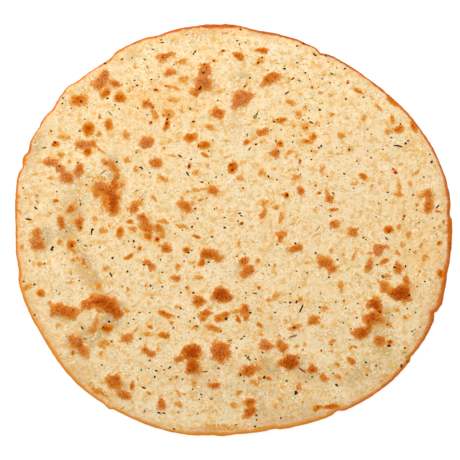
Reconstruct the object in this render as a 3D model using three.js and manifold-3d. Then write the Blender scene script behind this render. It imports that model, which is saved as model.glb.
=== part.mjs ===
// A thin round cauliflower pizza crust, pressed out by hand to about ten inches and baked on its own.
// It is one slab: a flat base, a tucked and uneven edge, browned blisters and folds that stand on the top,
// and stems of dried herb baked into the surface.
// Units are millimetres and +Z is up. The slab lies on z = 0, with the middle of its box on the Z axis.

import * as THREE from "three";
import { mergeVertices } from "three/addons/utils/BufferGeometryUtils.js";
import Module from "manifold-3d";

const wasm = await Module();
wasm.setup();

// The slab.
const CRUST_RADIUS = 127; // half of a ten-inch crust
const DOUGH_HEIGHT = 4.6; // from the base to the plain dough's top
const RIM_HEIGHT = 4.1; // from the base to the top of the rim
const RIM_ROLL = 5; // width of the band that falls to the rim
const RIM_WAVE = 0.25; // how far the rim's top rises and dips
const FOOT_HEIGHT = 0.9; // the slab is widest at this height
const FOOT_TUCK = 0.6; // how far the base is drawn in under the widest line

// The side slopes outwards, most of all towards one side of the crust.
const SIDE_RUN_LEAST = 0.8;
const SIDE_RUN_MOST = 2.4;
const SIDE_RUN_TOWARDS = 70; // degrees from +X
const SIDE_SHOULDER = { height: 0.6, run: 0.3 }; // shares of the way from the widest line to the rim

// How far the pressed edge lies outside the ten-inch circle, or inside it, every 15 degrees from +X.
const EDGE_OFFSETS = [
  3.3, 3.1, -0.6, -5.4, -7.7, -7.2, -4.8, -2.8, -0.4, 0.8, 4.0, 5.3,
  2.6, 4.4, 3.2, 3.6, 0.8, -1.4, -5.2, -4.6, -1.0, 3.2, 4.3, 3.8,
];

// Breaks in the edge: degrees from +X, depth, and the degrees that it reaches before and after.
// A depth below 0 is a crumb that stands out.
const EDGE_BREAKS = [
  [4, 1.4, 1.2, 2.5], [64.2, 2.0, 4, 0.8], [83, 1.6, 9, 7], [111, 1.2, 5, 5],
  [126, 1.9, 3, 9], [139, -2.0, 4, 7], [146.5, 1.2, 4, 3], [152.2, 1.0, 1.5, 1],
  [159, 2.0, 3, 1.8], [163.3, 1.6, 1.8, 2.2], [190.5, 1.3, 6, 3.5], [235, -1.6, 1.3, 1.3],
  [267, -1.0, 2, 4], [282, 1.2, 5, 0.9], [300, 1.7, 3.5, 2], [324.4, 1.1, 0.8, 5],
  [337.5, 1.8, 2.2, 1], [340, -1.0, 1, 5], [349, 0.9, 4, 4],
];
const BREAK_POWER = 1.5; // a break is pointed at its middle and fades out at its ends

// The point from which the places of the blisters and the herb stems below are counted.
const SPOT_ORIGIN = { x: -0.1, y: -0.75 };

// Blisters and folds: x, y, length, width and turn in degrees. Those that touch run together into one fold.
const DARK_BLISTERS = [
  [-70.5, 27.5, 7, 3, 90], [-71, 17.5, 14, 7.5, 90], [-79, -42, 11.5, 8.5, 0], [-72.5, -44.5, 10.5, 8.5, -35],
  [-69, -49, 7.5, 5.5, -65], [-24.5, -72, 11.5, 9, 15], [-24, -81, 9, 9, 90], [-7, -38, 13, 8, -10],
  [-14.5, -13.5, 10.5, 5.5, -5], [6.5, -18, 5, 4.5, 0], [99.5, -37, 14, 8.5, 0], [85, -43, 9.5, 6, -50],
  [82, -52, 10, 6.5, 25], [77, -60.5, 11, 5, 10], [33.5, -78, 11.5, 8.5, 15],
];
const BROWN_BLISTERS = [
  [-79, 88, 9, 7, 50], [-76, 92, 8, 6, 70], [-69.5, 87, 8, 4, -15], [-89, 51.5, 10, 4.5, 10],
  [-83.5, 52, 6, 3, -25], [-75.5, 40.5, 7, 3, -5], [-71, 38.5, 6, 3, -45], [-69.5, 33.5, 7.5, 3, -80],
  [-79, 26, 7, 5.5, -30], [-74.5, 24, 8, 8, 0], [-81, 22, 5, 5, 0], [-70.5, 11.5, 5, 5, 90],
  [-51.5, 52.5, 9.5, 6.5, 35], [-9.5, 70, 9.5, 6, 0], [-17, 93.5, 13, 7, 85], [-19, 87, 9, 8, 60],
  [-22, 82.5, 8, 5, 55], [-15, 86.5, 6, 4, 20], [-40, 103.5, 9.5, 4.5, 15], [-37, 94, 9, 3.5, 10],
  [-51.5, 76, 5.5, 3.5, 70], [-48, 74, 4.5, 3, -45], [-108.5, 41, 9, 4, 0], [-103, 37, 8, 4.5, -40],
  [-99, 32, 8.5, 6.5, -40], [-91.5, 36, 9, 4.5, 85], [-96, 13, 6.5, 4.5, 55], [-102, 5.5, 9, 4, 100],
  [-91, 5, 9.5, 4.5, 90], [-116, -8, 9, 6, -20], [-116.5, -2, 6.5, 5.5, 90], [-59, 13.5, 6.5, 5.5, -20],
  [-45.5, 40, 7.5, 6.5, -10], [-11.5, 24, 6.5, 5.5, -20], [-28.5, 15.5, 9, 5.5, -15], [-27, 13, 5, 4, 90],
  [-53, 6.5, 8, 5, -60], [-50.5, 1.5, 7, 5.5, -30], [-44, 1.5, 6.5, 4.5, -50], [22.5, 90.5, 13, 5.5, 30],
  [5.5, 78.5, 15, 9, 30], [17.5, 59, 7, 3.5, 10], [25, 46, 7, 5, -25], [40.5, 23.5, 7, 4, -60],
  [57.5, 19.5, 5.5, 4.5, 80], [17.5, 9.5, 7, 3, 30], [60, 4, 5, 4.5, -30], [71.5, -1, 6.5, 4.5, 80],
  [115.5, 22, 7, 6, -15], [116, 15, 9.5, 5, 75], [28.5, -0.5, 6, 2.5, -10], [-99.5, -47, 13.5, 7.5, -10],
  [-95.5, -50.5, 6.5, 4.5, -15], [-105.5, -47.5, 5.5, 4.5, 60], [-86.5, -43.5, 8, 5, 5], [-83, -59, 5, 4, 30],
  [-20, -41.5, 9, 5.5, -5], [-16, -49, 7.5, 5, 15], [-5, -50, 7, 3.5, 20], [-12, -57.5, 7.5, 2.5, -20],
  [-8.5, -16, 7.5, 3, -10], [-33.5, -27.5, 7, 3, 0], [-50, -20.5, 9, 3, -50], [-39.5, -10, 6, 5, -45],
  [9.5, -23.5, 9.5, 5, 5], [6.5, -26, 4.5, 4, 60], [37.5, -10, 9.5, 5.5, 15], [55, -19, 8.5, 6.5, -10],
  [59, -22, 7, 4, -15], [86, -11.5, 6.5, 6.5, 60], [90.5, -9.5, 5, 3, 15], [80.5, -20.5, 7, 4.5, 75],
  [98, -22, 6.5, 5.5, -45], [90, -33, 7.5, 5.5, -60], [103, -29.5, 7, 3.5, 85], [81, -44, 5, 3, 60],
  [86.5, -47.5, 6, 4, -55], [80.5, -57, 5.5, 4.5, 70], [87.5, -53, 5, 3, -30], [48, -53.5, 6.5, 5.5, -5],
  [37, -57, 7.5, 3, 0], [7, -46.5, 6.5, 5.5, 30], [-93.5, -66, 9.5, 7.5, -50], [-89.5, -70, 11, 5, -60],
  [-63, -63.5, 7, 5.5, 10], [-52, -70.5, 6.5, 4.5, -25], [-48.5, -73, 5, 3, -10], [-7.5, -71.5, 12.5, 12.5, 0],
  [-70.5, -88.5, 9.5, 7, 0], [-70.5, -92, 6, 3, -10], [-65, -97, 9.5, 6, -40], [-42.5, -102.5, 8, 4.5, -80],
  [-10.5, -91.5, 10, 3.5, 5], [-31.5, -76, 8.5, 3.5, 25], [87, -65, 7, 5.5, 25], [73, -60, 5, 3.5, 0],
  [19, -67.5, 8, 6.5, -25], [29, -68.5, 8, 5.5, -50], [47, -82, 6.5, 5, 10], [9.5, -83.5, 8, 7.5, 30],
  [14, -81.5, 5, 3.5, 0], [10, -101.5, 9, 3.5, 20], [10, -107.5, 10, 5, 40], [54, -86.5, 5.5, 4.5, 0],
];
const DARK_HEIGHT = 1.4; // the deepest browned blisters puffed up most
const BROWN_HEIGHT = 0.95;
const BLISTER_SHELF = 0.5; // a blister is level out to this share of its reach
const BLISTER_FOOT = 1.15; // and it meets the dough at this share
const BLISTER_LOBES = [[3, 0.12], [5, 0.08]]; // waves round a blister's edge and their depth

// Dried herb stems that lie in the top: x, y, length and turn in degrees.
const HERB_STEMS = [
  [40.5, -46, 6, 65], [98, 50.5, 6, -10], [-107.5, -10.5, 3, 60], [-72.5, -26, 3.5, -65],
  [-84, -0.5, 4, 85], [-54.5, 37.5, 3, -30], [-31.5, 44.5, 3, -35], [-121.5, 7, 4, -10],
  [-53, -93, 3, -20], [-19.5, 85, 2.5, 60], [32, 82, 3.5, 35], [35.5, 90.5, 2.5, 40],
  [46.5, 64.5, 3, -25], [-27, 34, 3, -55], [-89.5, -57.5, 2.5, -55], [-44, -108, 2.5, -20],
  [37.5, -96.5, 3, 20], [121.5, 14.5, 3, 50], [35.5, -62.5, 5.5, 15], [41, -82.5, 6, -35],
];
const STEM_WIDTH = 1.1;
const STEM_PROUD = 0.35; // height of a stem's back above the surface
const STEM_SUNK = 0.3; // depth of its belly below the surface

// The triangles of the top. A triangle over the finest step is halved while a side is longer than the step for its
// place, or while the middle of a side strays further than this from the true form.
const PLAIN_STEP = 15;
const RIM_STEP = 5.5;
const BLISTER_STEP = 0.9; // as a share of the blister's width
const FINEST_STEP = 2.4;
const TOP_STRAY = 0.32;
const RIM_STRAY = 0.14;
const BASE_RADIUS = 80; // of the hexagon in the middle of the base

const DEGREE = Math.PI / 180;
const ON_RIM = 1e-3; // a point nearer than this is on the rim

const BLISTERS = [
  ...DARK_BLISTERS.map((place) => blister(place, DARK_HEIGHT)),
  ...BROWN_BLISTERS.map((place) => blister(place, BROWN_HEIGHT)),
];

function blister([right, up, length, width, turn], height) {
  const phase = 0.37 * right + 0.61 * up; // so that no two have the same outline
  const x = SPOT_ORIGIN.x + right;
  const y = SPOT_ORIGIN.y + up;
  return { x, y, height, phase, long: length / 2, short: width / 2, turn: turn * DEGREE };
}

// How far a point is from a blister's middle, as a share of the blister's reach that way.
function blisterShare(item, x, y) {
  const across = x - item.x;
  const up = y - item.y;
  const along = (across * Math.cos(item.turn) + up * Math.sin(item.turn)) / item.long;
  const aside = (up * Math.cos(item.turn) - across * Math.sin(item.turn)) / item.short;
  const round = Math.atan2(aside, along);
  const lobes = BLISTER_LOBES.map(([count, depth]) => depth * Math.sin(count * round + item.phase));
  return Math.hypot(along, aside) * (1 + lobes.reduce((sum, wave) => sum + wave, 0));
}

function blisterHeight(x, y) {
  const heights = BLISTERS.map((item) => {
    const share = blisterShare(item, x, y);
    return item.height * (1 - THREE.MathUtils.smoothstep(share, BLISTER_SHELF, BLISTER_FOOT));
  });
  return Math.max(...heights);
}

const pressedEdge = new THREE.CatmullRomCurve3(
  EDGE_OFFSETS.map((offset, index) => {
    const angle = (index / EDGE_OFFSETS.length) * 2 * Math.PI;
    return new THREE.Vector3(Math.cos(angle), Math.sin(angle), 0).multiplyScalar(CRUST_RADIUS + offset);
  }),
  true,
  "catmullrom",
  0.5,
);

// The share of a break's depth at an angle: 1 at its middle and 0 beyond its ends.
function breakShare([at, , before, after], degrees) {
  const away = THREE.MathUtils.euclideanModulo(degrees - at + 180, 360) - 180;
  return Math.max(0, 1 - Math.abs(away) / (away < 0 ? before : after));
}

// The slab's widest radius at an angle.
function edgeRadius(degrees) {
  const turn = THREE.MathUtils.euclideanModulo(degrees / 360, 1);
  const bitten = EDGE_BREAKS.reduce((sum, item) => sum + item[1] * breakShare(item, degrees) ** BREAK_POWER, 0);
  return pressedEdge.getPoint(turn).length() - bitten;
}

// How far the rim's top stands in from the widest line.
function sideRun(degrees) {
  const facing = 0.5 + 0.5 * Math.cos((degrees - SIDE_RUN_TOWARDS) * DEGREE);
  return THREE.MathUtils.lerp(SIDE_RUN_LEAST, SIDE_RUN_MOST, facing ** 2);
}

function rimHeight(degrees) {
  const angle = degrees * DEGREE;
  return RIM_HEIGHT + RIM_WAVE * (0.6 * Math.sin(7 * angle + 1) + 0.4 * Math.sin(17 * angle));
}

// A point of the top, from its place in a disc of radius 1.
function topPoint(disc) {
  const degrees = Math.atan2(disc.y, disc.x) / DEGREE;
  const radius = edgeRadius(degrees) - sideRun(degrees);
  const rimDistance = radius * (1 - disc.length());
  const fall = (DOUGH_HEIGHT - rimHeight(degrees)) * Math.max(0, 1 - rimDistance / RIM_ROLL) ** 2;
  const x = disc.x * radius;
  const y = disc.y * radius;
  const onRim = rimDistance < ON_RIM;
  const puff = onRim ? 0 : blisterHeight(x, y);
  return { disc, x, y, z: DOUGH_HEIGHT - fall + puff, degrees, rimDistance, onRim };
}

// The longest side that a triangle may have at a point of the top.
function wantedStep(point) {
  const found = BLISTERS.filter((item) => blisterShare(item, point.x, point.y) < 1);
  const plain = point.rimDistance < RIM_ROLL / 2 ? RIM_STEP : PLAIN_STEP;
  return Math.min(plain, ...found.map((item) => 2 * item.short * BLISTER_STEP));
}

function sideKey(a, b) {
  return a < b ? `${a} ${b}` : `${b} ${a}`;
}

// The top as points and triangles: a hexagon whose triangles are halved across their longest sides, again and
// again, until none is longer than wanted. New points on the rim are moved out to the edge.
class Top {
  constructor() {
    const hexagon = new THREE.CircleGeometry(1, 6).deleteAttribute("uv").deleteAttribute("normal");
    const merged = mergeVertices(hexagon);
    const place = merged.getAttribute("position");
    this.points = Array.from({ length: place.count }, (_, index) =>
      topPoint(new THREE.Vector2().fromBufferAttribute(place, index)),
    );
    const corners = Array.from(merged.index.array);
    this.triangles = corners.flatMap((a, index) => (index % 3 ? [] : [[a, corners[index + 1], corners[index + 2]]]));
    this.middles = new Map();
    this.fine = new WeakSet();
    while (this.markLongSides()) {
      this.triangles = this.triangles.flatMap((triangle) => this.halved(triangle));
      this.middles.clear();
    }
  }

  // The three sides of a triangle, longest first, each with the corner across from it.
  sides([a, b, c]) {
    const named = [[a, b, c], [b, c, a], [c, a, b]].map(([from, to, across]) => {
      const start = this.points[from];
      const end = this.points[to];
      const length = Math.hypot(end.x - start.x, end.y - start.y);
      return { from, to, across, length, key: sideKey(from, to) };
    });
    return named.sort((one, other) => other.length - one.length);
  }

  between(indices) {
    const disc = new THREE.Vector2();
    for (const index of indices) disc.addScaledVector(this.points[index].disc, 1 / indices.length);
    if (indices.length === 2 && indices.every((index) => this.points[index].onRim)) disc.normalize();
    return topPoint(disc);
  }

  // Whether the middle of a side is too far from the true form: in height or, along the rim, in any direction.
  strays({ from, to }) {
    const [start, end] = [this.points[from], this.points[to]];
    const middle = this.between([from, to]);
    const apart = ["x", "y", "z"].map((axis) => middle[axis] - (start[axis] + end[axis]) / 2);
    return middle.onRim ? Math.hypot(...apart) > RIM_STRAY : Math.abs(apart[2]) > TOP_STRAY;
  }

  tooCoarse(triangle, sides) {
    const longest = sides[0].length;
    if (longest <= FINEST_STEP) return false;
    const probes = [this.between(triangle), ...sides.map((side) => this.between([side.from, side.to]))];
    return probes.some((probe) => longest > wantedStep(probe)) || sides.some((side) => this.strays(side));
  }

  // Marks the longest side of each coarse triangle, and of each triangle with a marked side.
  markLongSides() {
    const every = this.triangles.map((triangle) => this.sides(triangle));
    const mark = (side) => this.middles.set(side.key, this.points.push(this.between([side.from, side.to])) - 1);
    every.forEach((sides, index) => {
      const triangle = this.triangles[index];
      if (this.fine.has(triangle)) return;
      if (!this.tooCoarse(triangle, sides)) this.fine.add(triangle);
      else if (!this.middles.has(sides[0].key)) mark(sides[0]);
    });
    const started = this.middles.size;
    for (let settled = false; !settled; ) {
      const open = every.filter(
        (sides) => !this.middles.has(sides[0].key) && sides.some((side) => this.middles.has(side.key)),
      );
      settled = open.length === 0;
      for (const sides of open) if (!this.middles.has(sides[0].key)) mark(sides[0]);
    }
    return started > 0;
  }

  halved(triangle) {
    const side = this.sides(triangle).find((one) => this.middles.has(one.key));
    if (!side) return [triangle];
    const middle = this.middles.get(side.key);
    return [
      ...this.halved([side.from, middle, side.across]),
      ...this.halved([middle, side.to, side.across]),
    ];
  }
}

// Rings of the side, from the rim down to the base: how far each stands in from the widest line, and its height.
const SIDE_RINGS = [
  (degrees) => [
    SIDE_SHOULDER.run * sideRun(degrees),
    THREE.MathUtils.lerp(FOOT_HEIGHT, rimHeight(degrees), SIDE_SHOULDER.height),
  ],
  () => [0, FOOT_HEIGHT],
  () => [FOOT_TUCK, 0],
];

function crustGeometry() {
  const top = new Top();
  const points = top.points.map(({ x, y, z }) => [x, y, z]);
  const triangles = [...top.triangles];
  const rim = top.points.map((point, index) => ({ ...point, index })).filter((point) => point.onRim);
  rim.sort((one, other) => one.degrees - other.degrees);
  const addPoint = (radius, degrees, height) =>
    points.push([radius * Math.cos(degrees * DEGREE), radius * Math.sin(degrees * DEGREE), height]) - 1;

  // The side, one ring of quads after another.
  let upper = rim.map((point) => point.index);
  for (const ring of SIDE_RINGS) {
    const lower = rim.map(({ degrees }) => {
      const [inset, height] = ring(degrees);
      return addPoint(edgeRadius(degrees) - inset, degrees, height);
    });
    upper.forEach((a, index) => {
      const next = (index + 1) % upper.length;
      triangles.push([a, lower[index], lower[next]], [a, lower[next], upper[next]]);
    });
    upper = lower;
  }

  // The flat base: a hexagon, with triangles from its corners out to the lowest ring.
  const corners = Array.from({ length: 6 }, (_, index) => addPoint(BASE_RADIUS, 60 * index, 0));
  const middle = addPoint(0, 0, 0);
  corners.forEach((corner, index) => triangles.push([middle, corners[(index + 1) % 6], corner]));
  const nearest = (degrees) => THREE.MathUtils.euclideanModulo(Math.round(degrees / 60), 6);
  upper.forEach((point, index) => {
    const next = (index + 1) % upper.length;
    const corner = corners[nearest(rim[index].degrees)];
    const nextCorner = corners[nearest(rim[next].degrees)];
    triangles.push([corner, upper[next], point]);
    if (corner !== nextCorner) triangles.push([corner, nextCorner, upper[next]]);
  });
  return { points, triangles };
}

function solidFrom(points, triangles) {
  const vertProperties = new Float32Array(points.flat());
  const triVerts = new Uint32Array(triangles.flat());
  return new wasm.Manifold(new wasm.Mesh({ numProp: 3, vertProperties, triVerts }));
}

// The height of the plain top or the blister under a place.
function surfaceHeight(x, y) {
  const degrees = Math.atan2(y, x) / DEGREE;
  const share = Math.hypot(x, y) / (edgeRadius(degrees) - sideRun(degrees));
  return topPoint(new THREE.Vector2(Math.cos(degrees * DEGREE), Math.sin(degrees * DEGREE)).multiplyScalar(share)).z;
}

// A stem is a small twelve-cornered bead drawn out along its turn, with its belly in the dough.
function stemSolid([right, up, length, turn]) {
  const x = SPOT_ORIGIN.x + right;
  const y = SPOT_ORIGIN.y + up;
  const bead = new THREE.IcosahedronGeometry(1, 0).deleteAttribute("uv").deleteAttribute("normal");
  const depth = STEM_PROUD + STEM_SUNK;
  bead.scale(length / 2, STEM_WIDTH / 2, depth / 2);
  bead.rotateZ(turn * DEGREE);
  bead.translate(x, y, surfaceHeight(x, y) + STEM_PROUD - depth / 2);
  const merged = mergeVertices(bead);
  const place = merged.getAttribute("position");
  return new wasm.Manifold(
    new wasm.Mesh({ numProp: 3, vertProperties: place.array, triVerts: new Uint32Array(merged.index.array) }),
  );
}

function geometryOf(solid) {
  const mesh = solid.getMesh();
  const geometry = new THREE.BufferGeometry();
  geometry.setAttribute("position", new THREE.BufferAttribute(mesh.vertProperties, 3));
  geometry.setIndex(new THREE.BufferAttribute(mesh.triVerts, 1));
  geometry.computeBoundingBox();
  const middle = geometry.boundingBox.getCenter(new THREE.Vector3());
  geometry.translate(-middle.x, -middle.y, 0);
  geometry.computeVertexNormals();
  return geometry;
}

const { points, triangles } = crustGeometry();
const slab = solidFrom(points, triangles);
const baked = HERB_STEMS.reduce((solid, stem) => solid.add(stemSolid(stem)), slab);

const crust = new THREE.Mesh(
  geometryOf(baked),
  new THREE.MeshStandardMaterial({ color: 0xe8c48e, roughness: 0.75, metalness: 0 }),
);
crust.name = "crust";

const part = new THREE.Group();
part.add(crust);

export default part;
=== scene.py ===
"""A thin cauliflower pizza crust, dressed over its solid with crumb, browned spots, herb and toasted bits.

The outline and the blisters come from the solid. This script gives them their fine relief and their bake.
"""

import functools
import math

import bpy
import numpy as np
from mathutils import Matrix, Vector
from mathutils.bvhtree import BVHTree


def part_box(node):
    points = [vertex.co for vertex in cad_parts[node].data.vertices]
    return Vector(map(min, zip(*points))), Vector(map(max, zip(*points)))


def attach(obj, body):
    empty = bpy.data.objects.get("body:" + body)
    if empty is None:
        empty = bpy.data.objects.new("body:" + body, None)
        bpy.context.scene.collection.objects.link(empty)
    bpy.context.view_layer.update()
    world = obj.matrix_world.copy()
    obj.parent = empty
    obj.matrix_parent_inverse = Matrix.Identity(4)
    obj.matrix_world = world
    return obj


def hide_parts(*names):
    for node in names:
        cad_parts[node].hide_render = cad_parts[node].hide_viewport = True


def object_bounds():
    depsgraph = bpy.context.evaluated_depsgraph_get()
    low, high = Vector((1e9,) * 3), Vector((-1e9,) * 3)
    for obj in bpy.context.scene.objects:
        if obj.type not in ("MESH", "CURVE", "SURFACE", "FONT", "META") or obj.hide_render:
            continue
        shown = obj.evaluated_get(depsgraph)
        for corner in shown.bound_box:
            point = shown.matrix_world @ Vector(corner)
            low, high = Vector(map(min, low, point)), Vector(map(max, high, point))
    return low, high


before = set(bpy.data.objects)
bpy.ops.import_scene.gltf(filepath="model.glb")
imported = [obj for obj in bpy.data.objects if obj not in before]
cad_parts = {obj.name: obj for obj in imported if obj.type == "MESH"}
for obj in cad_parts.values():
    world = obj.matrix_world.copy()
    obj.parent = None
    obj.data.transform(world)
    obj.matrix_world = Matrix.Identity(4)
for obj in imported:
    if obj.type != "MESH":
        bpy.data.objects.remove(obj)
CAD_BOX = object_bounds()

bl_info = {
    "name": "Cauliflower Pizza Crust",
    "version": (1, 0, 0),
    "blender": (4, 5, 0),
    "location": "View3D > Sidebar > Crust",
    "description": "Models a baked cauliflower crust over its solid and gives it its finish",
    "category": "Object",
}

MM = 0.001
BODY = "root"
NODE = "crust"

# The crust's side and base.
WALL_LEVELS = (0.86, 0.7, 0.54, 0.4, 0.28, 0.14, 0.03)  # heights of the side's rings, as shares of the rim's
TUCKED_SHARE = 0.225  # rings lower than this may tuck in under the rim
BASE_INSET = 0.75  # millimetres from the widest line in to the base's edge
BASE_FADE = 0.02  # share of the base's radius over which its unevenness starts
FIRST_CORNER = math.pi / 2  # the angle of the first corner of the hexagon that the crust is shaped from

# The bits that are strewn by a rule.
CLUMP_SIZE = 26  # millimetres over which they are many or few
BARE_EDGE = 3  # millimetres inside the widest line that they leave free
MOST_TOAST = 0.3  # how toasted a place may be that they lie on
EVEN_SHARE = 0.5  # share that is kept where they are neither many nor few
SHORTEST = 0.5  # the shortest over a middling one

# The lumps that all bits but stems are made of.
LUMP_SPAN = 0.57  # radius of a lump's corners over the length of its oval, as its flat faces lie further in
LUMP_HEIGHT = 0.4  # its height over its width
LUMP_UNEVENNESS = 0.3  # share by which its corners stray in and out

# Colours of the bits, in 0 to 255 as a screen shows them, for shades from 0 to 1.
STEM_SHADES = [(24, 10, 4), (88, 24, 6), (150, 70, 26), (140, 128, 90)]
FLECK_SHADES = [(54, 22, 0), (88, 56, 8), (130, 100, 38), (182, 160, 98)]
GREEN_SHADES = [(180, 166, 76), (226, 212, 116), (242, 230, 160)]
BEAD_SHADES = [(118, 14, 2), (176, 50, 8), (200, 100, 26), (222, 146, 62)]

# The point of the frame, in millimetres, from which the places below are counted.
SPOT_ORIGIN = (-0.34, -0.45)

# Small toasted spots with little or no height: x, y, length and width in millimetres, and turn in degrees.
BROWN_FRECKLES = [
    (-76, 82, 6, 4, 50), (-91.5, 77.5, 9, 6, 10), (-67, 79.5, 6.5, 5.5, 0), (-86, 60.5, 7, 5.5, 75),
    (-73.5, 63, 5.5, 5, 80), (-46, 84, 4, 2, 0), (-40, 62.5, 6, 3, 65), (-48.5, 64.5, 2, 2, 0),
    (3.5, 103.5, 6, 4, -30), (98.5, 60, 5.5, 4.5, 0), (75, 83, 5.5, 2.5, -35), (107.5, 62, 7, 3, -65),
    (95, 77, 8, 3, -40), (-105.5, 52, 3.5, 3, 0), (-105, 18, 2, 2, 0), (-96, -8.5, 5, 4.5, 80),
    (-75, -57.5, 6, 5, -10), (-25, 55.5, 7, 4.5, 10), (-17.5, 51, 6.5, 4.5, 0),
    (-16.5, 45.5, 4, 1.5, -10), (-26, 38.5, 2.5, 2, 90), (-0.5, 37.5, 6, 5, 90),
    (-19.5, 18.5, 2.5, 1.5, 20), (-61, 5.5, 3, 3, 0), (-50.5, -3.5, 5, 4, 0), (-45, -5, 3.5, 3, 30),
    (-21, -3, 4, 2, -20), (-41, 49, 1.5, 1.5, 0), (8.5, 53, 4, 3, 20), (28, 51.5, 4, 3.5, 0),
    (40, 41.5, 2.5, 1.5, 80), (31.5, 21.5, 3, 3, 0), (51, 22.5, 2, 2, 0), (5.5, 4.5, 2, 1.5, 0),
    (28, -3.5, 5, 3, 90), (96, 35, 3.5, 2, -60), (101.5, 9, 2, 1.5, 0), (92, 0.5, 5, 4.5, 0),
    (90, -18, 5, 2.5, 30), (103.5, -41, 5, 2.5, 20), (-55, -10.5, 3, 2, 80), (-18.5, -18.5, 6, 3, 60),
    (-18, -52, 3.5, 3, 40), (-49, -57, 3, 2.5, 0), (15, -33.5, 2, 2, 0), (8, -50.5, 4.5, 2.5, 85),
    (3, -52.5, 5, 3, -80), (15.5, -56, 4, 2.5, -50), (-95.5, -72.5, 2.5, 2.5, 0),
    (-60, -91.5, 5, 2.5, 80), (-50, -96.5, 2.5, 1.5, -40), (-34, -86.5, 1.5, 1.5, 0),
    (58, -104.5, 9.5, 2.5, 5), (50, -105, 5, 2.5, 5), (73, -69, 2, 1.5, 0), (93, -65.5, 3, 2, 90),
    (70, -77, 5, 3.5, -40), (-83.5, -38.5, 5, 2, 40), (-62, -15, 4.5, 2.5, 20), (-27.5, -11, 4, 3, 0),
    (-40, -49.8, 8, 3, -25), (-12, -57.5, 8, 3, -20), (-41, -62, 5.5, 3, 0), (21, -87.5, 4.5, 2.5, -30),
    (36, -57, 5, 3, 10), (17, 107.5, 7, 2.5, 10), (20, 106.5, 3, 1.5, 100), (15.2, 99.5, 3, 2, 60),
    (28.8, 65.8, 4.5, 3.5, 0), (122.8, -6.8, 2.4, 2.4, 0), (90, -33, 6, 5, -30),
    (123.2, -26, 4.5, 2.5, 85), (-79.2, 67.6, 2.4, 1.3, 90), (-6.5, -51, 7, 4, 20),
    (-92.3, -15.8, 2.5, 1.2, -45), (-89.3, -17.2, 2.5, 1.2, -40), (-89, -19.2, 1.8, 1.3, 0),
    (-74, 18.5, 8, 9, 0), (-71, 14, 7, 9, 0), (-86.5, 47.5, 6.5, 4, 75), (-67, -1, 5.5, 3.5, 85),
    (-116.3, 21.3, 2.2, 1.8, 0), (-77, 24.5, 11, 7, -20), (123.2, -25.5, 4, 5, 0),
    (-114, -36.5, 3.5, 4.5, 0), (77.3, 32.3, 3.6, 3.6, 0), (122, 12, 3, 1.4, -45),
    (125, 6, 1.6, 2.4, -20), (47.5, 56.5, 3, 4.5, -20), (44.5, 53, 5, 2, -10), (60, 12, 4.5, 1.8, 15),
    (-19.5, 18.4, 3.6, 1.6, 20), (-123.8, 44, 1.6, 3.6, -10),
]
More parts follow.
